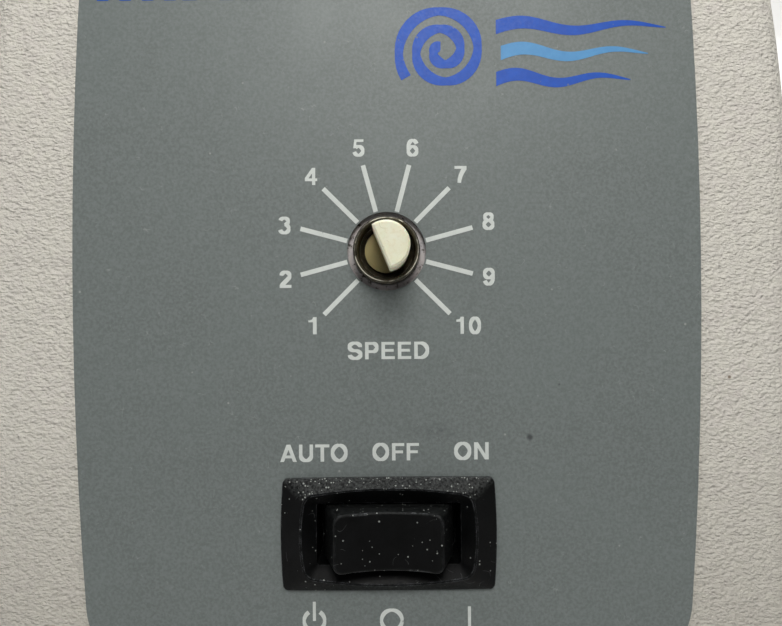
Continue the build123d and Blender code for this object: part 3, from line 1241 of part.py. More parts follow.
with BuildPart() as lever:
    with BuildSketch(level(lever_top_z, 0, MOTOR_Y)):
        with Locations(((LEVER_TIP_X + LEVER_PIVOT_X) / 2, 0)):
            Rectangle(LEVER_PIVOT_X - LEVER_TIP_X, LEVER_WIDTH)
    extrude(amount=-LEVER_THICKNESS)
    with BuildSketch(lever_pin):
        Circle(LEVER_EYE_RADIUS)
    extrude(amount=LEVER_WIDTH / 2, both=True)
    with BuildSketch(lever_pin):
        Circle(LEVER_PIN_RADIUS)
    extrude(amount=TOUCH_EAR_OFFSET + TOUCH_EAR[1], both=True)
save(lever.part, "touch_lever")

bracket_wall_y = MOTOR_Y + TOUCH_SWITCH_SIZE[1] / 2
with BuildPart() as touch_bracket:
    with BuildSketch(level(PLATE_TOP_Z, TOUCH_SWITCH_X, bracket_wall_y)):
        with Locations((0, BRACKET_FOOT / 2)):
            Rectangle(BRACKET_WIDTH, BRACKET_FOOT)
        with Locations((0, BRACKET_SCREW_Y)):
            Circle(GUIDE_SCREW_RADIUS + HOLE_GAP, mode=Mode.SUBTRACT)
    extrude(amount=BRACKET_SHEET)
    with BuildSketch(level(PLATE_TOP_Z, TOUCH_SWITCH_X, bracket_wall_y)):
        with Locations((0, BRACKET_SHEET / 2)):
            Rectangle(BRACKET_WIDTH, BRACKET_SHEET)
    extrude(amount=BRACKET_RISE)
    with BuildSketch(switch_screw_plane):
        with GridLocations(TOUCH_SCREW_PITCH, 1, 2, 1):
            Circle(TOUCH_SCREW_RADIUS + HOLE_GAP)
    extrude(amount=TOUCH_SWITCH_SIZE[1], both=True, mode=Mode.SUBTRACT)
save(touch_bracket.part, "touch_bracket")

switch_front_y = MOTOR_Y - TOUCH_SWITCH_SIZE[1] / 2
touch_screw_planes = [
    Plane((TOUCH_SWITCH_X + x, switch_front_y, touch_screw_z), (1, 0, 0), (0, -1, 0))
    for x in (-TOUCH_SCREW_PITCH / 2, TOUCH_SCREW_PITCH / 2)
]

guide_screw_points = [(0, MOTOR_Y - GUIDE_SCREW_PITCH / 2), (0, MOTOR_Y + GUIDE_SCREW_PITCH / 2)]
guide_screw_planes = [level(PLATE_TOP_Z + GUIDE_FLANGE, x, y) for x, y in guide_screw_points]
with BuildPart() as touch_screws:
    add(pan_screws(touch_screw_planes, TOUCH_SCREW_RADIUS, TOUCH_SCREW_LENGTH, *TOUCH_SCREW_HEAD))
    add(pan_screws(guide_screw_planes, GUIDE_SCREW_RADIUS, GUIDE_FLANGE - STACK_GAP, *GUIDE_SCREW_HEAD))
save(touch_screws.part, "touch_screws")

# ---------------------------------------------------------------- power inlet
inlet_face = Plane((0, REAR_Y, INLET_Z), x_dir=(-1, 0, 0), z_dir=(0, 1, 0))
socket_floor = INLET_FLANGE[2] - INLET_SOCKET_DEPTH
pin_points = [(-INLET_PIN_SPREAD, -2), (INLET_PIN_SPREAD, -2), (0, 2.5)]
with BuildPart() as inlet:
    with BuildSketch(inlet_face):
        RectangleRounded(INLET_FLANGE[0], INLET_FLANGE[1], INLET_CORNER)
        with GridLocations(INLET_SCREW_PITCH, 1, 2, 1):
            Circle(COVER_SCREW_RADIUS + HOLE_GAP, mode=Mode.SUBTRACT)
    extrude(amount=INLET_FLANGE[2])
    with BuildSketch(inlet_face.offset(INLET_FLANGE[2])):
        with GridLocations(INLET_SCREW_PITCH, 1, 2, 1):
            Circle(INLET_SCREW_HEAD[0] + HOLE_GAP)
    extrude(amount=-INLET_SCREW_HEAD[1], mode=Mode.SUBTRACT)
    with BuildSketch(inlet_face):
        Rectangle(INLET_BODY[0], INLET_BODY[1])
    extrude(amount=-INLET_DEPTH)
    with BuildSketch(inlet_face.offset(INLET_FLANGE[2])) as mouth:
        Rectangle(INLET_SOCKET[0], INLET_SOCKET[1])
        chamfer(mouth.vertices().group_by(Axis.Y)[-1], length=INLET_SOCKET_CORNER)
    extrude(amount=-INLET_SOCKET_DEPTH, mode=Mode.SUBTRACT)
    with BuildSketch(inlet_face):
        with Locations(*pin_points):
            Rectangle(INLET_PIN[0] + 2 * SCREW_GAP, INLET_PIN[1] + 2 * SCREW_GAP)
    extrude(amount=-INLET_DEPTH, mode=Mode.SUBTRACT)
save(inlet.part, "power_inlet")

with BuildPart() as inlet_pins:
    with BuildSketch(inlet_face.offset(socket_floor + INLET_PIN[2])):
        with Locations(*pin_points):
            Rectangle(INLET_PIN[0], INLET_PIN[1])
    extrude(amount=-(socket_floor + INLET_PIN[2] + INLET_DEPTH + INLET_PIN_TAIL))
save(inlet_pins.part, "inlet_pins")

inlet_recess_y = REAR_Y + INLET_FLANGE[2] - INLET_SCREW_HEAD[1]
inlet_screw_planes = [
    Plane((side * INLET_SCREW_PITCH / 2, inlet_recess_y, INLET_Z), (1, 0, 0), (0, 1, 0)) for side in (-1, 1)
]
inlet_screw_length = inlet_recess_y - REAR_Y + WALL - SCREW_TIP_GAP + HOLE_GAP
with BuildPart() as cover_screws:
    add(collar_screws)
    add(pan_screws(inlet_screw_planes, COVER_SCREW_RADIUS, inlet_screw_length, *INLET_SCREW_HEAD))
save(cover_screws.part, "cover_screws")

# ---------------------------------------------------------------- control board
board_hole_pitch = (BOARD_SIZE[0] - BOARD_HOLE_MARGIN, BOARD_SIZE[1] - BOARD_HOLE_MARGIN)
board_z = PLATE_TOP_Z + STANDOFF_HEIGHT
board_top_z = board_z + BOARD_THICKNESS


def board_level(z, x=0.0, y=0.0):
    """A level plane over the control board, from the board's centre."""
    return level(z, BOARD_CENTRE[0] + x, BOARD_CENTRE[1] + y)


with BuildPart() as standoffs:
    with BuildSketch(board_level(PLATE_TOP_Z)):
        with GridLocations(*board_hole_pitch, 2, 2):
            Circle(STANDOFF_RADIUS)
            Circle(BOARD_SCREW_RADIUS + SCREW_GAP, mode=Mode.SUBTRACT)
    extrude(amount=STANDOFF_HEIGHT)
save(standoffs.part, "board_standoffs")

with BuildPart() as board:
    with BuildSketch(board_level(board_z)):
        RectangleRounded(*BOARD_SIZE, 1.5)
        with GridLocations(*board_hole_pitch, 2, 2):
            Circle(BOARD_SCREW_RADIUS + HOLE_GAP, mode=Mode.SUBTRACT)
    extrude(amount=BOARD_THICKNESS)
save(board.part, "control_board")

board_screw_places = GridLocations(*board_hole_pitch, 2, 2).local_locations
board_screw_planes = [board_level(board_top_z, p.position.X, p.position.Y) for p in board_screw_places]
board_screws = pan_screws(board_screw_planes, BOARD_SCREW_RADIUS, BOARD_SCREW_LENGTH, *BOARD_SCREW_HEAD)
save(board_screws, "board_screws")

with BuildPart() as heatsink:
    with BuildSketch(board_level(board_top_z, 0, HEATSINK_Y)):
        Rectangle(HEATSINK_SIZE[0], HEATSINK_SIZE[1])
        with Locations((0, HEATSINK_FIN[1] / 2)):
            with GridLocations(HEATSINK_FIN_PITCH, 1, 4, 1):
                Rectangle(*HEATSINK_FIN)
    extrude(amount=HEATSINK_SIZE[2])
save(heatsink.part, "heatsink")

tab_y = TRIAC_Y + (TRIAC_BODY[1] - TRIAC_TAB[0]) / 2
with BuildPart() as triac:
    with BuildSketch(board_level(board_top_z + TRIAC_LIFT, 0, TRIAC_Y)):
        Rectangle(TRIAC_BODY[0], TRIAC_BODY[1])
    extrude(amount=TRIAC_BODY[2])
    with BuildSketch(board_level(board_top_z + TRIAC_LIFT, 0, tab_y)):
        Rectangle(TRIAC_BODY[0], TRIAC_TAB[0])
    extrude(amount=TRIAC_TAB[1])
    with BuildSketch(board_level(board_top_z, 0, TRIAC_Y)):
        with GridLocations(TRIAC_LEG_PITCH, 1, 3, 1):
            Rectangle(*TRIAC_LEG)
    extrude(amount=TRIAC_LIFT)
save(triac.part, "triac")

with BuildPart() as capacitor:
    with BuildSketch(board_level(board_top_z, *CAPACITOR_PLACE)):
        RectangleRounded(CAPACITOR_SIZE[0], CAPACITOR_SIZE[1], CAPACITOR_CORNER)
    extrude(amount=CAPACITOR_SIZE[2])
    fillet(capacitor.edges().group_by(Axis.Z)[-1], radius=CAPACITOR_EDGE)
save(capacitor.part, "board_capacitor")

with BuildPart() as choke:
    with BuildSketch(board_level(board_top_z, *CHOKE_PLACE)):
        Circle(CHOKE_RADII[0])
        Circle(CHOKE_RADII[1], mode=Mode.SUBTRACT)
    extrude(amount=CHOKE_HEIGHT)
    fillet(choke.edges(), radius=CHOKE_EDGE)
save(choke.part, "board_choke")

with BuildPart() as terminal_block:
    with BuildSketch(board_level(board_top_z, 0, BLOCK_Y)):
        Rectangle(BLOCK_SIZE[0], BLOCK_SIZE[1])
    extrude(amount=BLOCK_SIZE[2])
    with BuildSketch(board_level(board_top_z + BLOCK_SIZE[2], 0, BLOCK_Y)):
        with GridLocations(BLOCK_PITCH, 1, 3, 1):
            Circle(BLOCK_WELL[0])
    extrude(amount=-BLOCK_WELL[1], mode=Mode.SUBTRACT)
save(terminal_block.part, "terminal_block")
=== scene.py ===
# %% [markdown]
# # A bench vortex mixer
#
# A vortex mixer shakes test tubes: the rubber cup on its top runs round a small circle. This notebook
# takes the measured model of the mixer as a fixed frame, gives each of its pieces a finish, prints the
# dial and labels on its front, and sets up the studio.

# %% Load the frame
import json
import math
import bpy
from mathutils import Matrix, Vector
from mathutils.geometry import convex_hull_2d, delaunay_2d_cdt


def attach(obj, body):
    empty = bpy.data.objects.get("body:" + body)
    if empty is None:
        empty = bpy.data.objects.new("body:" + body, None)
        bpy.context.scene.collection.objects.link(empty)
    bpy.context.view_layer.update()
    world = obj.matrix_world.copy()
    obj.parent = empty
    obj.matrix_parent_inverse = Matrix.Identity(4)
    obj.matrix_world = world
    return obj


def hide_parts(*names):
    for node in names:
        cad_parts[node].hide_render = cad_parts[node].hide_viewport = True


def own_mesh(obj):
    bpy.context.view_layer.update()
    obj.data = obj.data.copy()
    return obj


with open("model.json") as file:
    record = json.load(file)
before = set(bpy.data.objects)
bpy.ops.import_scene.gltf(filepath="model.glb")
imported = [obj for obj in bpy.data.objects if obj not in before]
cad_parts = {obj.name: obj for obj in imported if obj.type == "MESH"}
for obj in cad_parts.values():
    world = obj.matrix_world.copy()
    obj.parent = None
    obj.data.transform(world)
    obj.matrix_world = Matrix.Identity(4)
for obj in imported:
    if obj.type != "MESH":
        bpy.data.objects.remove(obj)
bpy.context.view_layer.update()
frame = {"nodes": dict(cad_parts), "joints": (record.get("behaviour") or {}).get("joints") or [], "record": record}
nodes = frame["nodes"]

# %% [markdown]
# ## The sloping front
#
# Everything that is printed lies on the sloping front, so the work is easier in the front's own
# directions: across it, up it and out of it, in millimetres from the speed shaft. The joint that turns
# the shaft already knows the shaft's place and direction, so nothing has to be measured again.

# %% Directions of the front
MM = 0.001
turning = next(joint for joint in frame["joints"] if joint["name"] == "speed_turn")
shaft_place = Vector(turning["pos_m"])
ACROSS = Vector((1, 0, 0))
OUT = Vector(turning["axis"]).normalized()
UP = OUT.cross(ACROSS).normalized()


def on_front(across, up, out=0.0):
    """A place on the front, from millimetres to metres."""
    return shaft_place + (ACROSS * across + UP * up + OUT * out) * MM


print("the front leans", round(math.degrees(math.asin(OUT.z)), 1), "degrees back")

# %% [markdown]
# ## Camera
#
# The camera looks straight at the front from close by, so that the front fills the picture and its edges
# stay straight. Close up it needs a wide lens, and a near clipping distance under a millimetre or two.
# The camera is turned by half a degree, as a hand-held one is.

# %% Camera
CAMERA_DISTANCE = 95.0
CAMERA_AIM = (0.57, -9.03)
camera_turn = math.radians(0.45)
camera_data = bpy.data.cameras.new("camera")
camera_data.sensor_width = 36.0
camera_data.lens = 29.95
camera_data.clip_start = 0.002
camera = bpy.data.objects.new("camera", camera_data)
bpy.context.scene.collection.objects.link(camera)
camera_up = UP * math.cos(camera_turn) + ACROSS * math.sin(camera_turn)
camera_right = camera_up.cross(OUT)
camera.matrix_world = Matrix.Translation(on_front(*CAMERA_AIM, CAMERA_DISTANCE)) @ Matrix(
    (camera_right, camera_up, OUT)
).transposed().to_4x4()
bpy.context.scene.camera = camera
print("camera at", tuple(round(x, 4) for x in camera.location))

# %% [markdown]
# ## Studio
#
# A pale bench that curves up into a pale wall, and soft light. One light close above the front gives the
# soft shadow under the shaft and makes the top of the front brighter than its foot. The others light the
# bench and the back, the wall, and the left side. The room glows weakly, so that it doesn't fill the
# shadow, but looks pale where it is seen. The Standard view keeps colours as they are mixed.

# %% Bench, room and lights
def soft_light(name, place, aim, width, height, power, colour=(1, 1, 1)):
    data = bpy.data.lights.new(name, "AREA")
    data.shape = "RECTANGLE"
    data.size = width
    data.size_y = height
    data.energy = power
    data.color = colour
    light = bpy.data.objects.new(name, data)
    bpy.context.scene.collection.objects.link(light)
    light.location = place
    light.rotation_euler = (Vector(aim) - Vector(place)).to_track_quat("-Z", "Y").to_euler()
    light.visible_camera = False
    return light


LIGHT_ANGLE = math.radians(36)
LIGHT_DISTANCE = 290.0
LIGHT_ACROSS = 15
light_up = LIGHT_DISTANCE * math.sin(LIGHT_ANGLE)
light_out = LIGHT_DISTANCE * math.cos(LIGHT_ANGLE)
key_place = on_front(LIGHT_ACROSS, light_up, light_out)
soft_light("key_light", key_place, on_front(0, 0), 0.13, 0.10, 0.52, (1.0, 0.985, 0.955))
soft_light("bench_light", (0, 0.9, 1.2), (0, 0.3, 0), 1.2, 0.8, 5.5)
soft_light("wall_light", (0, 0.5, 1.5), (0, 1.9, 0.6), 1.2, 0.5, 40.0)
soft_light("side_light", (-1.0, -0.5, 0.7), (0, 0, 0.06), 0.6, 0.6, 1.0)

world = bpy.data.worlds.new("room")
bpy.context.scene.world = world
world.use_nodes = True
world.node_tree.nodes["Background"].inputs["Color"].default_value = (0.97, 0.985, 1.0, 1)
ROOM_GLOW = 0.13
ROOM_PALENESS = 0.62  # added only where the room itself is seen
room = world.node_tree
seen = room.nodes.new("ShaderNodeLightPath").outputs["Is Camera Ray"]
glow = room.nodes.new("ShaderNodeMath")
glow.operation = "MULTIPLY_ADD"
room.links.new(seen, glow.inputs[0])
glow.inputs[1].default_value = ROOM_PALENESS
glow.inputs[2].default_value = ROOM_GLOW
room.links.new(glow.outputs[0], room.nodes["Background"].inputs["Strength"])
bpy.context.scene.view_settings.view_transform = "Standard"

bench_mesh = bpy.data.meshes.new("bench")
BENCH_HALF = 4.0
WALL_FOOT = 1.4
SWEEP_RADIUS = 0.6
WALL_TOP = 3.0
sweep = [math.pi / 2 * i / 24 for i in range(25)]
profile = [(-BENCH_HALF, 0.0)]
profile += [(WALL_FOOT + SWEEP_RADIUS * math.sin(t), SWEEP_RADIUS * (1 - math.cos(t))) for t in sweep]
profile.append((WALL_FOOT + SWEEP_RADIUS, WALL_TOP))
last = len(profile) - 1
bench_mesh.from_pydata(
    [(x, y, z) for y, z in profile for x in (-BENCH_HALF, BENCH_HALF)],
    [],
    [(2 * i, 2 * i + 1, 2 * i + 3, 2 * i + 2) for i in range(last)],
)
bench_mesh.shade_smooth()
bench = bpy.data.objects.new("bench", bench_mesh)
bpy.context.scene.collection.objects.link(bench)

# %% [markdown]
# ## Short ways to write nodes
#
# A material is a small net of nodes. Writing each node and link by hand is slow to read, so these helpers
# add one node, set or join its inputs, and hand back the output that matters.

# %% Node helpers
def colour(red, green, blue):
    """A screen colour, 0 to 255, as the light values that Blender mixes."""
    parts = [c / 255 for c in (red, green, blue)]
    return tuple(c / 12.92 if c <= 0.04045 else ((c + 0.055) / 1.055) ** 2.4 for c in parts) + (1.0,)


def add(tree, kind, inputs=None, **settings):
    made = tree.nodes.new(kind)
    for key, value in settings.items():
        setattr(made, key, value)
    for key, value in (inputs or {}).items():
        if isinstance(value, bpy.types.NodeSocket):
            tree.links.new(value, made.inputs[key])
        else:
            made.inputs[key].default_value = value
    return made


def calc(tree, operation, a, b=0.0, c=0.0):
    return add(tree, "ShaderNodeMath", {0: a, 1: b, 2: c}, operation=operation).outputs[0]


def scaled(tree, value, low, high, to_low=0.0, to_high=1.0):
    inputs = {"Value": value, "From Min": low, "From Max": high, "To Min": to_low, "To Max": to_high}
    return add(tree, "ShaderNodeMapRange", inputs).outputs[0]


def mixed(tree, share, a, b, how="MIX"):
    made = add(tree, "ShaderNodeMix", {0: share, 6: a, 7: b}, data_type="RGBA", blend_type=how)
    return made.outputs[2]


def noise(tree, place, scale, detail=3.0, roughness=0.55, distortion=0.0):
    inputs = {"Vector": place, "Scale": scale, "Detail": detail, "Roughness": roughness}
    return add(tree, "ShaderNodeTexNoise", {**inputs, "Distortion": distortion}).outputs[0]


def stretched(tree, place, x, y, z):
    return add(tree, "ShaderNodeVectorMath", {0: place, 1: (x, y, z)}, operation="MULTIPLY").outputs[0]


def distance_from(tree, place, point):
    return add(tree, "ShaderNodeVectorMath", {0: place, 1: point}, operation="DISTANCE").outputs["Value"]


def start_group(name, inputs, outputs):
    """An empty node group; its inputs are (label, kind, first value), its outputs (label, kind)."""
    tree = bpy.data.node_groups.new(name, "ShaderNodeTree")
    for label, kind, value in inputs:
        socket = tree.interface.new_socket(label, in_out="INPUT", socket_type="NodeSocket" + kind)
        if value is not None:
            socket.default_value = value
    for label, kind in outputs:
        tree.interface.new_socket(label, in_out="OUTPUT", socket_type="NodeSocket" + kind)
    return tree, tree.nodes.new("NodeGroupInput").outputs, tree.nodes.new("NodeGroupOutput").inputs


def place_group(tree, group, **inputs):
    made = tree.nodes.new("ShaderNodeGroup")
    made.node_tree = group
    for label, value in inputs.items():
        if isinstance(value, bpy.types.NodeSocket):
            tree.links.new(value, made.inputs[label])
        else:
            made.inputs[label].default_value = value
    return made.outputs


# %% [markdown]
# ## Effects that several finishes share
#
# Old laboratory gear carries the same few traces everywhere: fine grain, dust that gathers in specks,
# short pale scratches, and worn edges. Each is a node group, built once, with named inputs, and each
# material places it with its own values.

# %% Grain
grain_group, given, out = start_group(
    "fine_grain",
    [("Place", "Vector", None), ("Size", "Float", 1500.0), ("Patch", "Float", 90.0)],
    [("Grain", "Float"), ("Patches", "Float")],
)
grain_tree = grain_group
grain_group.links.new(noise(grain_tree, given["Place"], given["Size"], 4.0, 0.6), out["Grain"])
patches = scaled(grain_tree, noise(grain_tree, given["Place"], given["Patch"], 3.0, 0.6, 0.4), 0.32, 0.68)
grain_group.links.new(patches, out["Patches"])

# %% Dust specks
dust_group, given, out = start_group(
    "dust_specks",
    [("Place", "Vector", None), ("Size", "Float", 420.0), ("Reach", "Float", 0.16), ("Share", "Float", 0.2)],
    [("Mask", "Float")],
)
cells = add(dust_group, "ShaderNodeTexVoronoi", {"Vector": given["Place"], "Scale": given["Size"]})
chosen = add(dust_group, "ShaderNodeSeparateColor", {0: cells.outputs["Color"]}).outputs
picked = calc(dust_group, "LESS_THAN", chosen[0], given["Share"])
radius = calc(dust_group, "MULTIPLY", chosen[1], given["Reach"])
inside = calc(dust_group, "SUBTRACT", radius, cells.outputs["Distance"])
speck = scaled(dust_group, inside, 0.0, 0.05)
dust_group.links.new(calc(dust_group, "MULTIPLY", speck, picked), out["Mask"])

# %% Scratches
scratch_group, given, out = start_group(
    "scratches",
    [
        ("Place", "Vector", None),
        ("Size", "Float", 260.0),
        ("Width", "Float", 0.01),
        ("Rarity", "Float", 0.62),
    ],
    [("Mask", "Float")],
)
ridge = calc(scratch_group, "SUBTRACT", noise(scratch_group, given["Place"], given["Size"], 0.0), 0.5)
line = calc(scratch_group, "SUBTRACT", given["Width"], calc(scratch_group, "ABSOLUTE", ridge))
shifted = add(scratch_group, "ShaderNodeVectorMath", {0: given["Place"], 1: (7.3, 2.1, 5.9)}, operation="ADD")
where = noise(scratch_group, shifted.outputs[0], given["Size"], 1.0)
crossing = calc(scratch_group, "SUBTRACT", where, given["Rarity"])
thin = scaled(scratch_group, line, 0.0, 0.004)
short = scaled(scratch_group, crossing, 0.0, 0.02)
scratch_group.links.new(calc(scratch_group, "MULTIPLY", thin, short), out["Mask"])

# %% Worn edges
wear_group, given, out = start_group(
    "edge_wear",
    [("Place", "Vector", None), ("Radius", "Float", 0.0004), ("Breaks", "Float", 900.0)],
    [("Mask", "Float")],
)
rounded = add(wear_group, "ShaderNodeBevel", {"Radius": given["Radius"]}, samples=4).outputs[0]
true_normal = add(wear_group, "ShaderNodeNewGeometry").outputs["True Normal"]
facing = add(wear_group, "ShaderNodeVectorMath", {0: rounded, 1: true_normal}, operation="DOT_PRODUCT")
edge = scaled(wear_group, facing.outputs["Value"], 0.995, 0.9)
broken = scaled(wear_group, noise(wear_group, given["Place"], given["Breaks"], 4.0, 0.7), 0.42, 0.6)
wear_group.links.new(calc(wear_group, "MULTIPLY", edge, broken), out["Mask"])
print("groups:", [g.name for g in bpy.data.node_groups])

# %% [markdown]
# ## Starting a material
#
# Every finish below starts the same way: a Principled shader, and the piece's own coordinates, so that
# the grain stays on the piece when the piece moves.

# %% Start a material
finishes = {}


def start_finish(name, metallic=0.0, specular=0.5, **sockets):
    material = bpy.data.materials.new(name)
    material.use_nodes = True
    tree = material.node_tree
    shader = tree.nodes["Principled BSDF"]
    shader.inputs["Metallic"].default_value = metallic
    shader.inputs["Specular IOR Level"].default_value = specular
    for label, value in sockets.items():
        shader.inputs[label.replace("_", " ")].default_value = value
    place = add(tree, "ShaderNodeTexCoord").outputs["Object"]
    finishes[name] = material
    return tree, shader, place


def raise_surface(tree, shader, height, distance, strength=1.0, under=None):
    """Bumps of a real height in metres; under is a bump that lies beneath this one."""
    made = add(tree, "ShaderNodeBump", {"Height": height, "Distance": distance, "Strength": strength})
    if under is not None:
        tree.links.new(under, made.inputs["Normal"])
    tree.links.new(made.outputs[0], shader.inputs["Normal"])
    return made.outputs[0]


def give(tree, shader, **values):
    for label, value in values.items():
        tree.links.new(value, shader.inputs[label.replace("_", " ")])


# %% [markdown]
# ## Wrinkle paint
#
# The cast casing is sprayed with a texture paint that dries in soft, closely packed wrinkles under a
# millimetre apart. A displaced mesh would need tens of millions of faces, so the wrinkles are a bump with
# their true height. Two layers make them: rounded cells for the wrinkles, and a wider swell under them.
# The paint is off-white, with faint warm and pink patches and a few brown specks. Painted shade darkens the
# hollows of the wrinkles, and more painted shade darkens the paint towards the foot of the front.

# %% Wrinkle paint
wrinkle_group, given, out = start_group(
    "wrinkle_height",
    [("Place", "Vector", None), ("Size", "Float", 2450.0)],
    [("Height", "Float"), ("Shaded_hollows", "Float")],
)
flat_place = stretched(wrinkle_group, given["Place"], 0.6, 1.0, 1.0)
warp = noise(wrinkle_group, flat_place, given["Size"], 2.0, 0.5, 0.35)
cells = add(
    wrinkle_group,
    "ShaderNodeTexVoronoi",
    {"Vector": flat_place, "Scale": given["Size"], "Smoothness": 0.6, "Randomness": 1.0},
    feature="SMOOTH_F1",
)
domes = calc(wrinkle_group, "SUBTRACT", 1.0, cells.outputs["Distance"])
swell = noise(wrinkle_group, given["Place"], calc(wrinkle_group, "MULTIPLY", given["Size"], 0.3), 2.0)
fine = noise(wrinkle_group, given["Place"], calc(wrinkle_group, "MULTIPLY", given["Size"], 2.6), 2.0)
height = calc(wrinkle_group, "MULTIPLY_ADD", domes, 0.5, calc(wrinkle_group, "MULTIPLY", warp, 1.1))
height = calc(wrinkle_group, "MULTIPLY_ADD", swell, 1.0, height)
height = calc(wrinkle_group, "MULTIPLY_ADD", fine, 0.22, height)
wrinkle_group.links.new(height, out["Height"])
wrinkle_group.links.new(scaled(wrinkle_group, warp, 0.42, 0.3), out["Shaded_hollows"])

tree, shader, place = start_finish("wrinkle_paint", specular=0.45)
wrinkles = place_group(tree, wrinkle_group, Place=place)
tints = place_group(tree, grain_group, Place=place, Size=600.0, Patch=130.0)
base = mixed(tree, tints["Patches"], colour(231, 227, 217), colour(230, 224, 216))
base = mixed(tree, scaled(tree, tints["Grain"], 0.4, 0.62), base, colour(235, 231, 220))
# painted shade: the hollows of the wrinkles are darkened in the colour
base = mixed(tree, calc(tree, "MULTIPLY", wrinkles["Shaded_hollows"], 0.16), base, colour(180, 174, 162))
# painted shade: the paint darkens towards the foot of the front, below the shaft
from_shaft = add(tree, "ShaderNodeVectorMath", {0: place, 1: shaft_place}, operation="SUBTRACT").outputs[0]
up_front = add(tree, "ShaderNodeVectorMath", {0: from_shaft, 1: UP}, operation="DOT_PRODUCT").outputs["Value"]
base = mixed(tree, scaled(tree, up_front, -0.02, -0.06, 0.0, 0.55), base, colour(192, 187, 176))
dirt = place_group(tree, dust_group, Place=place, Size=300.0, Reach=0.12, Share=0.05)
base = mixed(tree, calc(tree, "MULTIPLY", dirt["Mask"], 0.8), base, colour(118, 98, 72))
give(tree, shader, Base_Color=base, Roughness=scaled(tree, tints["Grain"], 0.3, 0.7, 0.5, 0.72))
WRINKLE_HEIGHT = 0.0005
raise_surface(tree, shader, wrinkles["Height"], WRINKLE_HEIGHT)

# %% [markdown]
# ## Overlay film
#
# The grey-green front is a printed polyester film, stuck into place. It is nearly smooth, with a weak
# sheen. What makes it look real is its age: faint cloudy patches, short pale scratches, lint and dark
# specks, a smudge above the switch label and the dark mark of a pencil. They are masks over one colour.

# %% Overlay film
tree, shader, place = start_finish("overlay_film", specular=0.4)
cloud = place_group(tree, grain_group, Place=place, Size=2400.0, Patch=60.0)
film = mixed(tree, cloud["Patches"], colour(116, 124, 122), colour(111, 118, 116))
film = mixed(tree, scaled(tree, cloud["Grain"], 0.38, 0.62, 0.0, 0.8), film, colour(130, 137, 136))
old = place_group(tree, scratch_group, Place=place, Size=760.0, Width=0.008, Rarity=0.61)
film = mixed(tree, calc(tree, "MULTIPLY", old["Mask"], 0.4), film, colour(168, 173, 170))
lint = place_group(tree, dust_group, Place=place, Size=420.0, Reach=0.1, Share=0.3)
film = mixed(tree, calc(tree, "MULTIPLY", lint["Mask"], 0.55), film, colour(186, 188, 184))
flipped = stretched(tree, place, 1.0, -1.0, 1.0)
dark = place_group(tree, dust_group, Place=flipped, Size=240.0, Reach=0.09, Share=0.06)
film = mixed(tree, calc(tree, "MULTIPLY", dark["Mask"], 0.75), film, colour(52, 56, 56))
SMUDGE_SHAPE = 0.42  # its height as a share of its width
near = stretched(tree, place, SMUDGE_SHAPE, 1.0, 1.0)
smudge_at = on_front(6.9, -26.4)
smudge_at.x *= SMUDGE_SHAPE
smudge = scaled(tree, distance_from(tree, near, smudge_at), 0.0016, 0.0004)
rubbed = calc(tree, "MULTIPLY", smudge, scaled(tree, noise(tree, place, 1600.0, 4.0, 0.7), 0.4, 0.65))
film = mixed(tree, calc(tree, "MULTIPLY", rubbed, 0.5), film, colour(84, 88, 90))
mark = scaled(tree, distance_from(tree, place, on_front(20.7, -27.3)), 0.0006, 0.0002)
film = mixed(tree, calc(tree, "MULTIPLY", mark, 0.8), film, colour(60, 62, 64))
sheen = scaled(tree, cloud["Patches"], 0.0, 1.0, 0.42, 0.52)
polished = calc(tree, "MULTIPLY", old["Mask"], 0.1)
give(tree, shader, Base_Color=film, Roughness=calc(tree, "SUBTRACT", sheen, polished))
film_bump = raise_surface(tree, shader, cloud["Grain"], 0.000006)
raise_surface(tree, shader, calc(tree, "ADD", lint["Mask"], old["Mask"]), 0.00002, 0.6, film_bump)

# %% [markdown]
# ## Printing inks
#
# The inks are screen-printed, so they lie on the film with an almost even colour. Under a loupe the even
# colour breaks up into pinholes and a slight mottle, and that is what the grain does here.

# %% Printing inks
def ink(name, full, thin, pinholes):
    tree, shader, place = start_finish(name, specular=0.4)
    mottle = place_group(tree, grain_group, Place=place, Size=3200.0, Patch=700.0)
    tone = mixed(tree, scaled(tree, mottle["Patches"], 0.0, 1.0, 0.0, 0.6), full, thin)
    holes = place_group(tree, dust_group, Place=place, Size=1500.0, Reach=0.3, Share=pinholes)
    tone = mixed(tree, calc(tree, "MULTIPLY", holes["Mask"], 0.5), tone, colour(128, 134, 132))
    give(tree, shader, Base_Color=tone, Roughness=scaled(tree, mottle["Grain"], 0.3, 0.7, 0.4, 0.58))
    raise_surface(tree, shader, mottle["Grain"], 0.000005)


ink("white_ink", colour(226, 231, 227), colour(208, 214, 210), 0.1)
ink("blue_ink", colour(14, 88, 198), colour(8, 72, 176), 0.06)
ink("pale_blue_ink", colour(92, 160, 214), colour(80, 146, 204), 0.06)

# %% [markdown]
# ## Black nylon of the switch
#
# The switch's frame and paddle are moulded black nylon. Black plastic shows its age by light things on
# it: pale dust, lint, and edges polished by fingers. Dust settles where the surface faces up, so a mask
# made from the surface's own direction puts most of it on the frame's upper slope.

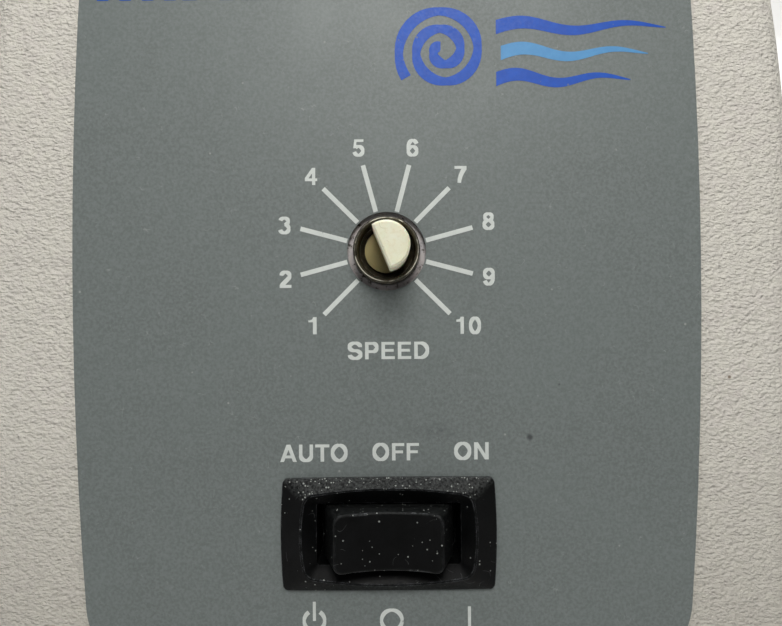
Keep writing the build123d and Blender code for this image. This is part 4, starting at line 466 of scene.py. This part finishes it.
# %% Black nylon
tree, shader, place = start_finish("black_nylon", specular=0.14)
grit = place_group(tree, grain_group, Place=place, Size=2600.0, Patch=260.0)
tone = mixed(tree, grit["Patches"], colour(5, 6, 6), colour(12, 13, 14))
worn = place_group(tree, wear_group, Place=place, Radius=0.00022, Breaks=1100.0)
tone = mixed(tree, calc(tree, "MULTIPLY", worn["Mask"], 0.8), tone, colour(112, 115, 118))
normal = add(tree, "ShaderNodeTexCoord").outputs["Normal"]
facing_up = add(tree, "ShaderNodeSeparateXYZ", {0: normal}).outputs[2]
switch = next(joint for joint in frame["joints"] if joint["name"] == "rocker_tilt")
above = add(tree, "ShaderNodeVectorMath", {0: place, 1: switch["pos_m"]}, operation="SUBTRACT").outputs[0]
height = add(tree, "ShaderNodeVectorMath", {0: above, 1: UP}, operation="DOT_PRODUCT").outputs["Value"]
settles = calc(tree, "MULTIPLY", scaled(tree, facing_up, 0.45, 0.72), scaled(tree, height, 0.003, 0.0065))
film_of_dust = calc(tree, "MULTIPLY", settles, scaled(tree, grit["Grain"], 0.38, 0.7))
tone = mixed(tree, calc(tree, "MULTIPLY", film_of_dust, 0.3), tone, colour(126, 130, 128))
dusty = calc(tree, "MULTIPLY_ADD", settles, 0.36, 0.045)
dust = place_group(tree, dust_group, Place=place, Size=3000.0, Reach=0.42, Share=dusty)
tone = mixed(tree, calc(tree, "MULTIPLY", dust["Mask"], 0.9), tone, colour(158, 162, 158))
lint = place_group(tree, dust_group, Place=place, Size=900.0, Reach=0.14, Share=0.16)
tone = mixed(tree, lint["Mask"], tone, colour(176, 178, 172))
hairs = place_group(tree, scratch_group, Place=place, Size=420.0, Width=0.006, Rarity=0.6)
tone = mixed(tree, calc(tree, "MULTIPLY", hairs["Mask"], 0.35), tone, colour(120, 122, 122))
give(tree, shader, Base_Color=tone, Roughness=scaled(tree, grit["Grain"], 0.3, 0.7, 0.36, 0.6))
raise_surface(tree, shader, grit["Grain"], 0.00002)

# %% [markdown]
# ## Cream plastic of the control shaft
#
# The control shaft is moulded in cream nylon. Light goes a little way into such plastic, so a small amount of
# subsurface is set on the shader, with yellowed patches, fine turning marks, and grease with painted shade that
# turns the shaft olive towards its root.

# %% Cream nylon
tree, shader, place = start_finish(
    "cream_nylon", specular=0.45, Subsurface_Weight=0.15, Subsurface_Scale=0.0008
)
aged = place_group(tree, grain_group, Place=place, Size=2200.0, Patch=420.0)
tone = mixed(tree, aged["Patches"], colour(249, 249, 225), colour(245, 242, 211))
tone = mixed(tree, scaled(tree, aged["Grain"], 0.5, 0.8, 0.0, 0.4), tone, colour(226, 214, 170))
from_face = add(tree, "ShaderNodeVectorMath", {0: place, 1: shaft_place}, operation="SUBTRACT").outputs[0]
depth = add(tree, "ShaderNodeVectorMath", {0: from_face, 1: OUT}, operation="DOT_PRODUCT").outputs["Value"]
# grease and painted shade: the shaft darkens to olive towards its root at the front
grease_and_shade = scaled(tree, calc(tree, "MULTIPLY_ADD", aged["Grain"], 0.003, depth), 0.0055, 0.002)
tone = mixed(tree, grease_and_shade, tone, colour(174, 160, 109))
nicks = place_group(tree, scratch_group, Place=place, Size=700.0, Width=0.012, Rarity=0.6)
tone = mixed(tree, calc(tree, "MULTIPLY", nicks["Mask"], 0.4), tone, colour(176, 158, 112))
give(tree, shader, Base_Color=tone, Roughness=scaled(tree, aged["Grain"], 0.3, 0.7, 0.32, 0.5))
raise_surface(tree, shader, aged["Grain"], 0.000012)

# %% [markdown]
# ## Blackened brass of the bushing
#
# The threaded bushing was plated brass once. Now it is dark brown and greasy in the mouth, and a thin, broken pale
# ring round its rim is worn bare metal with a painted highlight. The ring is placed by its distance from the
# shaft's axis, and the wear on the other edges by the shared edge mask.

# %% Blackened brass
tree, shader, place = start_finish("dark_bronze", specular=0.5)
tarnish = place_group(tree, grain_group, Place=place, Size=1900.0, Patch=500.0)
tone = mixed(tree, tarnish["Patches"], colour(34, 30, 20), colour(56, 49, 34))
tone = mixed(tree, scaled(tree, tarnish["Grain"], 0.5, 0.72, 0.0, 0.6), tone, colour(96, 84, 60))
bare = place_group(tree, wear_group, Place=place, Radius=0.0003, Breaks=620.0)
from_axis = add(tree, "ShaderNodeVectorMath", {0: place, 1: shaft_place}, operation="SUBTRACT").outputs[0]
turned = add(tree, "ShaderNodeVectorMath", {0: from_axis, 1: OUT}, operation="CROSS_PRODUCT").outputs[0]
reach = add(tree, "ShaderNodeVectorMath", {0: turned}, operation="LENGTH").outputs["Value"]
RIM_RADIUS = 0.00452
# worn bare metal and a painted highlight: a thin, broken pale ring round the rim
off_rim = calc(tree, "ABSOLUTE", calc(tree, "SUBTRACT", reach, RIM_RADIUS))
breaks = scaled(tree, noise(tree, place, 380.0, 3.0, 0.6), 0.45, 0.54)
rim = calc(tree, "MULTIPLY", scaled(tree, off_rim, 0.0001, 0.00004), breaks)
bright = calc(tree, "MAXIMUM", rim, calc(tree, "MULTIPLY", bare["Mask"], 0.4))
tone = mixed(tree, bright, tone, colour(222, 218, 202))
give(
    tree,
    shader,
    Base_Color=tone,
    Roughness=scaled(tree, tarnish["Grain"], 0.3, 0.7, 0.28, 0.55),
    Metallic=calc(tree, "MULTIPLY_ADD", bright, 0.1, 0.35),
)
raise_surface(tree, shader, tarnish["Grain"], 0.00004)

# %% [markdown]
# ## One recipe for the remaining finishes
#
# The pieces behind the front are moulded, cast, rolled or turned in about twenty ordinary finishes. They
# differ in colour, sheen, metal and the size of their grain, not in kind, so one recipe makes them all:
# two tones in patches, grain in the colour and the surface, dust, and edges rubbed to a lighter tone.

# %% The recipe
def plain_finish(
    name, tone_a, tone_b, edge_tone, rough, metal=0.0, size=1500.0, depth=0.00002, dust=0.1, pull=(1, 1, 1)
):
    tree, shader, place = start_finish(name, metallic=metal)
    along = stretched(tree, place, *pull)
    look = place_group(tree, grain_group, Place=along, Size=size, Patch=size / 9)
    tone = mixed(tree, look["Patches"], colour(*tone_a), colour(*tone_b))
    tone = mixed(tree, scaled(tree, look["Grain"], 0.5, 0.75, 0.0, 0.35), tone, colour(*edge_tone))
    rubbed = place_group(tree, wear_group, Place=place, Radius=0.0004, Breaks=700.0)
    tone = mixed(tree, calc(tree, "MULTIPLY", rubbed["Mask"], 0.6), tone, colour(*edge_tone))
    settled = place_group(tree, dust_group, Place=place, Size=800.0, Reach=0.22, Share=dust)
    tone = mixed(tree, calc(tree, "MULTIPLY", settled["Mask"], 0.35), tone, colour(168, 164, 154))
    give(tree, shader, Base_Color=tone, Roughness=scaled(tree, look["Grain"], 0.3, 0.7, *rough))
    raise_surface(tree, shader, look["Grain"], depth)


# %% [markdown]
# Rubber is black and soft, the cup a little greyer from use. Rolled and turned metals get their grain
# drawn out along one direction, as their tool left it.

# %% Finishes from the recipe
plain_finish(
    "black_rubber", (26, 26, 27), (38, 38, 38), (70, 69, 67),
    (0.62, 0.85), size=1100.0, depth=0.00005,
)
plain_finish(
    "cup_rubber", (34, 34, 35), (46, 46, 46), (84, 83, 80),
    (0.6, 0.82), size=800.0, depth=0.00006, dust=0.16,
)
plain_finish(
    "black_plastic", (27, 28, 29), (36, 37, 38), (82, 83, 84),
    (0.42, 0.62), size=1900.0, depth=0.00003,
)
plain_finish(
    "plated_sheet", (172, 172, 164), (186, 184, 172), (214, 212, 204),
    (0.24, 0.42), 0.9, 1300.0, pull=(0.15, 1, 1),
)
plain_finish("zinc_screws", (178, 178, 172), (160, 161, 158), (220, 220, 214), (0.22, 0.4), 0.95, 1800.0)
plain_finish(
    "brass_blades", (196, 164, 92), (180, 146, 80), (226, 200, 138),
    (0.22, 0.4), 0.95, 1500.0, pull=(1, 1, 0.2),
)
plain_finish("plated_blades", (196, 194, 186), (180, 180, 174), (226, 226, 220), (0.18, 0.34), 0.95, 1500.0)
plain_finish("dark_phenolic", (62, 40, 28), (74, 50, 34), (110, 80, 58), (0.4, 0.6), size=900.0)
plain_finish(
    "cast_alloy", (164, 164, 162), (148, 148, 147), (196, 196, 194),
    (0.42, 0.62), 0.85, 700.0, depth=0.00006,
)
plain_finish("sintered_bronze", (148, 112, 72), (128, 96, 60), (190, 154, 108), (0.4, 0.6), 0.85, 2400.0)
plain_finish(
    "lamination_steel", (96, 98, 104), (110, 112, 116), (150, 150, 150),
    (0.34, 0.56), 0.8, 1200.0, depth=0.00004, pull=(0.12, 0.12, 2.2),
)
plain_finish(
    "copper", (176, 92, 52), (192, 108, 64), (222, 146, 100),
    (0.24, 0.42), 0.9, 1400.0, depth=0.00005, pull=(0.2, 0.2, 2.4),
)
plain_finish(
    "ground_steel", (186, 187, 188), (170, 171, 174), (216, 216, 216),
    (0.14, 0.3), 0.95, 1800.0, pull=(1, 1, 4),
)
plain_finish("brass_weight", (190, 158, 90), (174, 142, 78), (220, 194, 132), (0.26, 0.44), 0.9, 1100.0)
plain_finish("board_laminate", (34, 84, 52), (42, 98, 60), (150, 166, 120), (0.3, 0.5), size=1000.0)
plain_finish("yellow_film", (206, 168, 44), (216, 180, 60), (232, 206, 120), (0.26, 0.44), size=900.0)
plain_finish("green_plastic", (44, 110, 74), (52, 122, 84), (120, 170, 140), (0.36, 0.54), size=1200.0)
print(len(finishes), "finishes")

# %% [markdown]
# ## Greasy nut in the pocket
#
# Round the bushing, the nut sits in a shallow pocket. It is grey steel with pinkish rust, black grease
# and pale crumbs, so it needs a rougher mix than the clean screws.

# %% Greasy nut
tree, shader, place = start_finish("greasy_steel", specular=0.5)
rust = place_group(tree, grain_group, Place=place, Size=1500.0, Patch=650.0)
tone = mixed(tree, rust["Patches"], colour(198, 193, 194), colour(210, 200, 196))
tone = mixed(tree, scaled(tree, rust["Grain"], 0.55, 0.66), tone, colour(72, 64, 52))
crumbs = place_group(tree, dust_group, Place=place, Size=1500.0, Reach=0.35, Share=0.3)
tone = mixed(tree, calc(tree, "MULTIPLY", crumbs["Mask"], 0.7), tone, colour(186, 178, 160))
give(
    tree,
    shader,
    Base_Color=tone,
    Roughness=scaled(tree, rust["Grain"], 0.3, 0.7, 0.34, 0.7),
    Metallic=scaled(tree, rust["Patches"], 0.0, 1.0, 0.3, 0.05),
)
raise_surface(tree, shader, rust["Grain"], 0.00006)

# %% [markdown]
# ## Bench surface
#
# The bench is a plain pale laminate with almost no pattern. It belongs to the stage, not to the mixer.

# %% Bench surface
tree, shader, place = start_finish("bench_laminate", specular=0.2)
pale = place_group(tree, grain_group, Place=place, Size=400.0, Patch=3.0)
tone = mixed(tree, pale["Patches"], colour(238, 237, 234), colour(235, 234, 231))
give(tree, shader, Base_Color=tone, Roughness=scaled(tree, pale["Grain"], 0.3, 0.7, 0.55, 0.7))
bench_mesh.materials.append(finishes["bench_laminate"])

# %% [markdown]
# ## Finishes on the frame's pieces
#
# The record says which material slot each node takes. Most finishes carry the slot's own name; the few
# that don't are listed here.

# %% Assign the finishes
slot_of = {entry["node"]: entry["material_slot"] for entry in frame["record"]["subparts"]}
other_names = {"textured_paint": "wrinkle_paint", "overlay_print": "overlay_film"}
special = {"pot_nut": "greasy_steel", "pot_washer": "greasy_steel"}
used = set()
for name, piece in nodes.items():
    finish = special.get(name) or other_names.get(slot_of[name], slot_of[name])
    material = finishes[finish]
    if not piece.material_slots:
        piece.data.materials.append(material)
    for held in piece.material_slots:
        held.material = material
    used.add(finish)
print(len(used), "finishes in use on", len(nodes), "nodes")

# %% [markdown]
# ## A copy of the spring
#
# Pressing the cup pushes the motor shaft down on a coil spring. A rigid spring would be cut by the pad above it. A
# copy of its mesh, held on the casing, takes its place, and the original is hidden.

# %% Spring
coil_mesh = nodes["thrust_spring"].data.copy()
coil = bpy.data.objects.new("spring_coil", coil_mesh)
coil.matrix_world = nodes["thrust_spring"].matrix_world
bpy.context.scene.collection.objects.link(coil)
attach(coil, "casing")
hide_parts("thrust_spring")
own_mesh(coil)

# %% [markdown]
# ## Printed shapes
#
# A printed letter is a very thin layer of ink. It could be a picture on the surface, but a picture can't
# be edited, and it blurs close up. Here each printed piece is a thin solid built from flat outlines.
# Outlines may overlap, as the strokes of a letter do, so a triangulation joins them into one sheet before
# it gets its thickness.

# %% Ink from outlines
INK_TOP = 0.03
INK_FOOT = -0.01


def counter_clockwise(outline):
    area = sum(a[0] * b[1] - b[0] * a[1] for a, b in zip(outline, outline[1:] + outline[:1]))
    return outline if area > 0 else outline[::-1]


def print_ink(name, outlines, finish, foot=INK_FOOT, top=INK_TOP):
    """Joins flat outlines, in millimetres on the front, into one thin printed piece."""
    corners, faces = [], []
    for outline in outlines:
        faces.append(list(range(len(corners), len(corners) + len(outline))))
        corners += [Vector(p) for p in counter_clockwise(list(outline))]
    flat, _, triangles, _, _, sources = delaunay_2d_cdt(corners, [], faces, 1, 1e-5)
    triangles = [t for t, source in zip(triangles, sources) if source]
    directed = {(t[i], t[(i + 1) % 3]) for t in triangles for i in range(3)}
    border = [(a, b) for a, b in directed if (b, a) not in directed]
    count = len(flat)
    points = [on_front(p.x, p.y, top) for p in flat] + [on_front(p.x, p.y, foot) for p in flat]
    sides = [(a, a + count, b + count, b) for a, b in sorted(border)]
    under = [tuple(i + count for i in reversed(t)) for t in triangles]
    mesh = bpy.data.meshes.new(name)
    mesh.from_pydata(points, [], [tuple(t) for t in triangles] + under + sides)
    mesh.materials.append(finishes[finish])
    piece = bpy.data.objects.new(name, mesh)
    bpy.context.scene.collection.objects.link(piece)
    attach(piece, "casing")
    return piece


# %% [markdown]
# ## Strokes
#
# The lettering is a bold sans serif. No font file is loaded: each letter is put together from bars,
# slanted bars and curved strokes, on the usual grid of 1000 units to the letter size with capitals 718
# high. Upright strokes are a little wider than level ones, so a curved stroke changes its width with its
# direction.

# %% Strokes
CAPITAL = 718
STEM = 140
LEVEL = 118


def bar(left, foot, right, top):
    return [(left, foot), (right, foot), (right, top), (left, top)]


def curve(x, y, rx, ry, start, end, steps=20):
    """Points along part of an ellipse, from start to end degrees."""
    turns = [math.radians(start + (end - start) * i / steps) for i in range(steps + 1)]
    return [(x + rx * math.cos(t), y + ry * math.sin(t)) for t in turns]


def stroke(path, stem=STEM, level=LEVEL, closed=False):
    """Outlines for a stroke along a path of points, one for each short run."""
    last = len(path) - 1
    edges = []
    for i, (x, y) in enumerate(path):
        before = path[i - 1] if i > 0 or closed else path[i]
        after = path[(i + 1) % len(path)] if i < last or closed else path[i]
        dx, dy = after[0] - before[0], after[1] - before[1]
        run = math.hypot(dx, dy)
        half = (stem * abs(dy) + level * abs(dx)) / run / 2
        edges.append(((x - dy / run * half, y + dx / run * half), (x + dy / run * half, y - dx / run * half)))
    pairs = list(zip(edges, edges[1:])) + ([(edges[-1], edges[0])] if closed else [])
    return [[a[0], a[1], b[1], b[0]] for a, b in pairs]


def loop(x, y, rx, ry, stem=STEM, level=LEVEL):
    return stroke(curve(x, y, rx, ry, 0, 360, 40)[:-1], stem, level, closed=True)


# %% [markdown]
# Each letter is a width and a list of outlines. The two bowls of an S, a 3 and an 8 differ in size, as
# they do in good lettering, so that the letter doesn't look top-heavy.

# %% Letters and figures
def mirrored(outline, middle):
    return [(2 * middle - x, y) for x, y in outline]


def letter_shapes():
    thin = 112
    a_leg = [(20, 0), (176, 0), (440, CAPITAL), (280, CAPITAL)]
    m_leg = [(69, CAPITAL), (255, CAPITAL), (487, 0), (347, 0)]
    e_arms = [bar(76, 598, 610, CAPITAL), bar(76, 305, 575, 423), bar(76, 0, 621, 122)]
    n_leg = [(69, CAPITAL), (225, CAPITAL), (654, 0), (498, 0)]
    x_leg = [(14, 0), (190, 0), (640, CAPITAL), (468, CAPITAL)]
    d_bowl = [(150, 658), *curve(330, 359, 282, 299, 90, -90, 28), (150, 60)]
    bowl = [(150, 658), *curve(400, 488, 152, 170, 90, -90), (150, 318)]
    u_path = [(144, CAPITAL), (144, 270), *curve(361, 270, 217, 218, 180, 360, 28)[1:], (578, CAPITAL)]
    s_path = curve(330, 519, 218, 159, -5, 90, 12)[:-1] + curve(330, 519, 218, 159, 90, 270, 22)[:-1]
    s_path += [(330, 360)] + curve(338, 200, 222, 160, 86, -175, 34)
    one_flag = [(69, 500), (69, 592), (200, 610), (262, 710), (378, 710), (300, 500)]
    two_path = [*curve(268, 496, 172, 158, 175, -30, 22), (330, 330), (140, 140), (96, 60)]
    three_top = curve(262, 518, 158, 134, 165, -88, 22)
    three_foot = curve(266, 212, 178, 172, 88, -165, 26)
    four_slope = [(27, 165), (27, 290), (318, 710), (400, 710), (400, 600), (150, 240)]
    five_bowl = curve(266, 222, 180, 182, 132, -166, 28)
    five_stem = [(96, 698), (196, 698), (160, 330), (48, 330)]
    six_back = curve(292, 348, 192, 306, 190, 32, 24)
    seven_leg = [(460, 620), (360, 470), (280, 300), (235, 140), (222, 0)]
    nine_back = curve(260, 343, 192, 306, 10, -148, 24)
    return {
        "A": (722, [a_leg, mirrored(a_leg, 361), bar(190, 150, 532, 268)]),
        "D": (722, [bar(76, 0, 222, CAPITAL), *stroke(d_bowl)]),
        "E": (667, [bar(76, 0, 222, CAPITAL), *e_arms]),
        "F": (611, [bar(76, 0, 222, CAPITAL), bar(76, 598, 587, CAPITAL), bar(76, 296, 536, 414)]),
        "I": (278, [bar(66, 0, 212, CAPITAL)]),
        "M": (833, [bar(69, 0, 209, CAPITAL), bar(625, 0, 765, CAPITAL), m_leg, mirrored(m_leg, 417)]),
        "N": (722, [bar(69, 0, 209, CAPITAL), bar(514, 0, 654, CAPITAL), n_leg]),
        "O": (778, loop(389, 359, 272, 316)),
        "P": (667, [bar(76, 0, 222, CAPITAL), *stroke(bowl)]),
        "R": (722, [bar(76, 0, 222, CAPITAL), *stroke(bowl), [(384, 330), (540, 350), (677, 0), (520, 0)]]),
        "S": (667, stroke(s_path)),
        "T": (611, [bar(14, 594, 598, CAPITAL), bar(233, 0, 379, CAPITAL)]),
        "U": (722, stroke(u_path)),
        "X": (667, [x_leg, mirrored(x_leg, 333)]),
        "0": (556, loop(278, 345, 180, 306, 132, thin)),
        "1": (556, [bar(238, 0, 378, 710), one_flag]),
        "2": (556, stroke(two_path, 134, 124) + [bar(26, 0, 511, 124)]),
        "3": (556, stroke(three_top, 130, thin) + stroke(three_foot, 132, thin)),
        "4": (556, [bar(315, 0, 448, 710), bar(27, 158, 526, 272), four_slope]),
        "5": (556, stroke(five_bowl, 132, thin) + [bar(96, 590, 478, 698), five_stem]),
        "6": (556, loop(280, 218, 176, 178, 130, thin) + stroke(six_back, 132, thin)),
        "7": (556, [bar(25, 578, 528, 700), *stroke(seven_leg, 144, 124)]),
        "8": (556, loop(278, 520, 150, 134, 124, 106) + loop(278, 206, 178, 166, 130, 112)),
        "9": (556, loop(272, 473, 176, 178, 130, thin) + stroke(nine_back, 132, thin)),
    }


letters = letter_shapes()
print(len(letters), "letters and figures drawn")

# %% [markdown]
# ## Dial and labels
#
# Ten lines fan out from the shaft, thirty degrees apart, with a figure at the end of each. The word under
# them and the three labels of the switch are set in the same letters.

# %% Set a word
def set_word(word, centre, foot, width, height):
    """The outlines of a word, centred, with its ink that wide and its capitals that high."""
    outlines, pen = [], 0
    for letter in word:
        advance, shapes = letters[letter]
        outlines += [[(x + pen, y) for x, y in shape] for shape in shapes]
        pen += advance
    left = min(x for outline in outlines for x, _ in outline)
    right = max(x for outline in outlines for x, _ in outline)
    middle = (left + right) / 2
    wide = width / (right - left)
    high = height / CAPITAL
    return [[(centre + (x - middle) * wide, foot + y * high) for x, y in outline] for outline in outlines]


# %% The dial
TICK_INNER = 5.95
TICK_OUTER = 13.0
TICK_WIDTH = 0.68
FIGURE_HEIGHT = 2.5


def tick(bearing, inner, outer, width):
    """A line out from the shaft; the bearing is in degrees clockwise from up the slope."""
    side = (math.cos(bearing) * width / 2, -math.sin(bearing) * width / 2)
    along = (math.sin(bearing), math.cos(bearing))
    near = (along[0] * inner, along[1] * inner)
    far = (along[0] * outer, along[1] * outer)
    return [
        (near[0] - side[0], near[1] - side[1]),
        (near[0] + side[0], near[1] + side[1]),
        (far[0] + side[0], far[1] + side[1]),
        (far[0] - side[0], far[1] - side[1]),
    ]


ticks = [tick(math.radians(-135 + 30 * i), TICK_INNER, TICK_OUTER, TICK_WIDTH) for i in range(10)]
print_ink("dial_lines", ticks, "white_ink")

figures = {
    "1": (-10.9, -10.8, 1.2), "2": (-14.8, -4.0, 1.75), "3": (-14.9, 3.9, 1.8), "4": (-10.95, 11.0, 1.8),
    "5": (-4.0, 15.15, 1.75), "6": (3.9, 15.1, 1.75), "7": (10.9, 11.15, 1.8), "8": (14.9, 4.3, 1.75),
    "9": (14.9, -3.8, 1.75), "10": (11.9, -10.9, 3.6),
}
for figure, (across, up, width) in figures.items():
    shapes = set_word(figure, across, up - FIGURE_HEIGHT / 2, width, FIGURE_HEIGHT * CAPITAL / 710)
    print_ink("figure_" + figure, shapes, "white_ink")

# %% The labels
LABEL_HEIGHT = 2.52
labels = {
    "SPEED": (0.15, -14.5, 11.9),
    "AUTO": (-10.85, -29.4, 9.85),
    "OFF": (1.1, -29.3, 6.8),
    "ON": (12.15, -29.25, 5.05),
}
for word, (across, up, width) in labels.items():
    shapes = set_word(word, across, up - LABEL_HEIGHT / 2, width, LABEL_HEIGHT)
    print_ink("label_" + word.lower(), shapes, "white_ink")
print("labels:", ", ".join(labels))

# %% [markdown]
# ## Switch symbols
#
# Under the switch are the standard symbols: standby, off and on. They are a broken ring with a line, a
# ring, and a line.

# %% Symbols
SYMBOL_RADIUS = 1.5
SYMBOL_LINE = 0.44
SYMBOL_LEVEL = -53.9
STANDBY_ACROSS = -10.96
OFF_ACROSS = 0.34
ON_ACROSS = 11.68
HALF_LINE = SYMBOL_LINE / 2
ring = curve(STANDBY_ACROSS, SYMBOL_LEVEL, SYMBOL_RADIUS, SYMBOL_RADIUS, 122, 418, 36)
standby = stroke(ring, SYMBOL_LINE, SYMBOL_LINE)
standby.append(bar(STANDBY_ACROSS - HALF_LINE, SYMBOL_LEVEL, STANDBY_ACROSS + HALF_LINE, SYMBOL_LEVEL + 2.8))
off_ring = loop(OFF_ACROSS, SYMBOL_LEVEL, SYMBOL_RADIUS, SYMBOL_RADIUS, SYMBOL_LINE, SYMBOL_LINE)
on_line = bar(ON_ACROSS - HALF_LINE, SYMBOL_LEVEL - 1.7, ON_ACROSS + HALF_LINE, SYMBOL_LEVEL + 1.95)
print_ink("symbol_standby", standby, "white_ink")
print_ink("symbol_off", off_ring, "white_ink")
print_ink("symbol_on", [on_line], "white_ink")

# %% [markdown]
# ## A generic device and title
#
# A front like this carries a coloured device at its top right and a large title. Both are stood in for by
# generic ones: the device is a spiral, for the whirl in a shaken tube, with three tapering waves beside
# it, and the title is just the word for what the machine is.

# %% Device and title
SPIRAL_CENTRE = (8.4, 29.2)
SPIRAL_TURNS = 2.6
SPIRAL_PITCH = 2.55


def spiral_path(steps=110):
    path = []
    for i in range(steps + 1):
        turn = 2 * math.pi * SPIRAL_TURNS * (0.12 + 0.88 * i / steps)
        reach = SPIRAL_PITCH * turn / (2 * math.pi)
        path.append((SPIRAL_CENTRE[0] + reach * math.cos(turn), SPIRAL_CENTRE[1] + reach * math.sin(turn)))
    return path


def wave(foot, left, right, thickness, swing, steps=60):
    """A wavy band that thins to a point at its right end."""
    upper, lower = [], []
    for i in range(steps + 1):
        share = i / steps
        x = left + (right - left) * share
        y = foot + swing * math.sin(share * 3.2 * math.pi) * (1 - 0.5 * share)
        half = thickness / 2 * (1 - share) ** 0.7 + 0.04
        upper.append((x, y + half))
        lower.append((x, y - half))
    return [[lower[i], lower[i + 1], upper[i + 1], upper[i]] for i in range(steps)]


print_ink("device_spiral", stroke(spiral_path(), 1.15, 1.15), "blue_ink")
print_ink("device_wave_top", wave(32.6, 16.2, 41.0, 2.0, 0.75), "blue_ink")
print_ink("device_wave_middle", wave(28.8, 16.9, 38.4, 2.0, 0.75), "pale_blue_ink")
print_ink("device_wave_foot", wave(25.0, 16.2, 35.8, 2.0, 0.75), "blue_ink")
print_ink("title", set_word("MIXER", -24.0, 36.88, 36.0, 8.4), "blue_ink")

# %% [markdown]
# ## Glue line
#
# Along the overlay's edge a little of its adhesive has crept out and caught dirt, which draws a thin
# dark and yellowish line between the film and the paint. It follows the overlay's outline, which is read
# from the overlay's own mesh, so the two always agree.

# %% Adhesive
tree, shader, place = start_finish("old_adhesive", specular=0.5)
sticky = place_group(tree, grain_group, Place=place, Size=1300.0, Patch=350.0)
tone = mixed(tree, sticky["Patches"], colour(172, 160, 118), colour(120, 114, 96))
tone = mixed(tree, scaled(tree, sticky["Grain"], 0.48, 0.7), tone, colour(82, 80, 72))
give(tree, shader, Base_Color=tone, Roughness=scaled(tree, sticky["Grain"], 0.3, 0.7, 0.3, 0.6))
raise_surface(tree, shader, sticky["Grain"], 0.00004)

GLUE_IN = -0.05
GLUE_OUT = 0.22
GLUE_PITCH = 0.8
film_points = []
for vertex in nodes["front_overlay"].data.vertices:
    away = (vertex.co - shaft_place) / MM
    film_points.append((away.dot(ACROSS), away.dot(UP)))
outline = [film_points[i] for i in convex_hull_2d(film_points)]
print("overlay outline:", len(outline), "points")


def even_steps(points, pitch):
    """The closed outline again, with points about one pitch apart."""
    made = []
    for a, b in zip(points, points[1:] + points[:1]):
        run = math.dist(a, b)
        steps = max(1, round(run / pitch))
        made += [(a[0] + (b[0] - a[0]) * i / steps, a[1] + (b[1] - a[1]) * i / steps) for i in range(steps)]
    return made


def glue_line():
    path = even_steps(outline, GLUE_PITCH)
    count = len(path)
    rails = [(GLUE_IN, -0.45), (GLUE_IN, -0.3), (0.1, -0.26), (GLUE_OUT, -0.45)]
    points, faces = [], []
    for i, (x, y) in enumerate(path):
        before, after = path[i - 1], path[(i + 1) % count]
        run = math.dist(before, after)
        nx, ny = (after[1] - before[1]) / run, -(after[0] - before[0]) / run
        side = 1 if nx * x + ny * (y + 5) > 0 else -1
        creep = 0.75 + 0.35 * math.sin(i * 0.37) * math.sin(i * 0.11 + 1)
        for out_by, level in rails:
            reach = out_by * (creep if out_by > 0 else 1) * side
            points.append(on_front(x + nx * reach, y + ny * reach, level))
    for i in range(count):
        for k in range(len(rails)):
            j, m = (i + 1) % count, (k + 1) % len(rails)
            faces.append((i * 4 + k, i * 4 + m, j * 4 + m, j * 4 + k))
    mesh = bpy.data.meshes.new("glue_line")
    mesh.from_pydata(points, [], faces)
    mesh.materials.append(finishes["old_adhesive"])
    piece = bpy.data.objects.new("glue_line", mesh)
    bpy.context.scene.collection.objects.link(piece)
    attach(piece, "casing")
    return piece


glue = glue_line()
print("glue line:", len(glue.data.polygons), "faces")
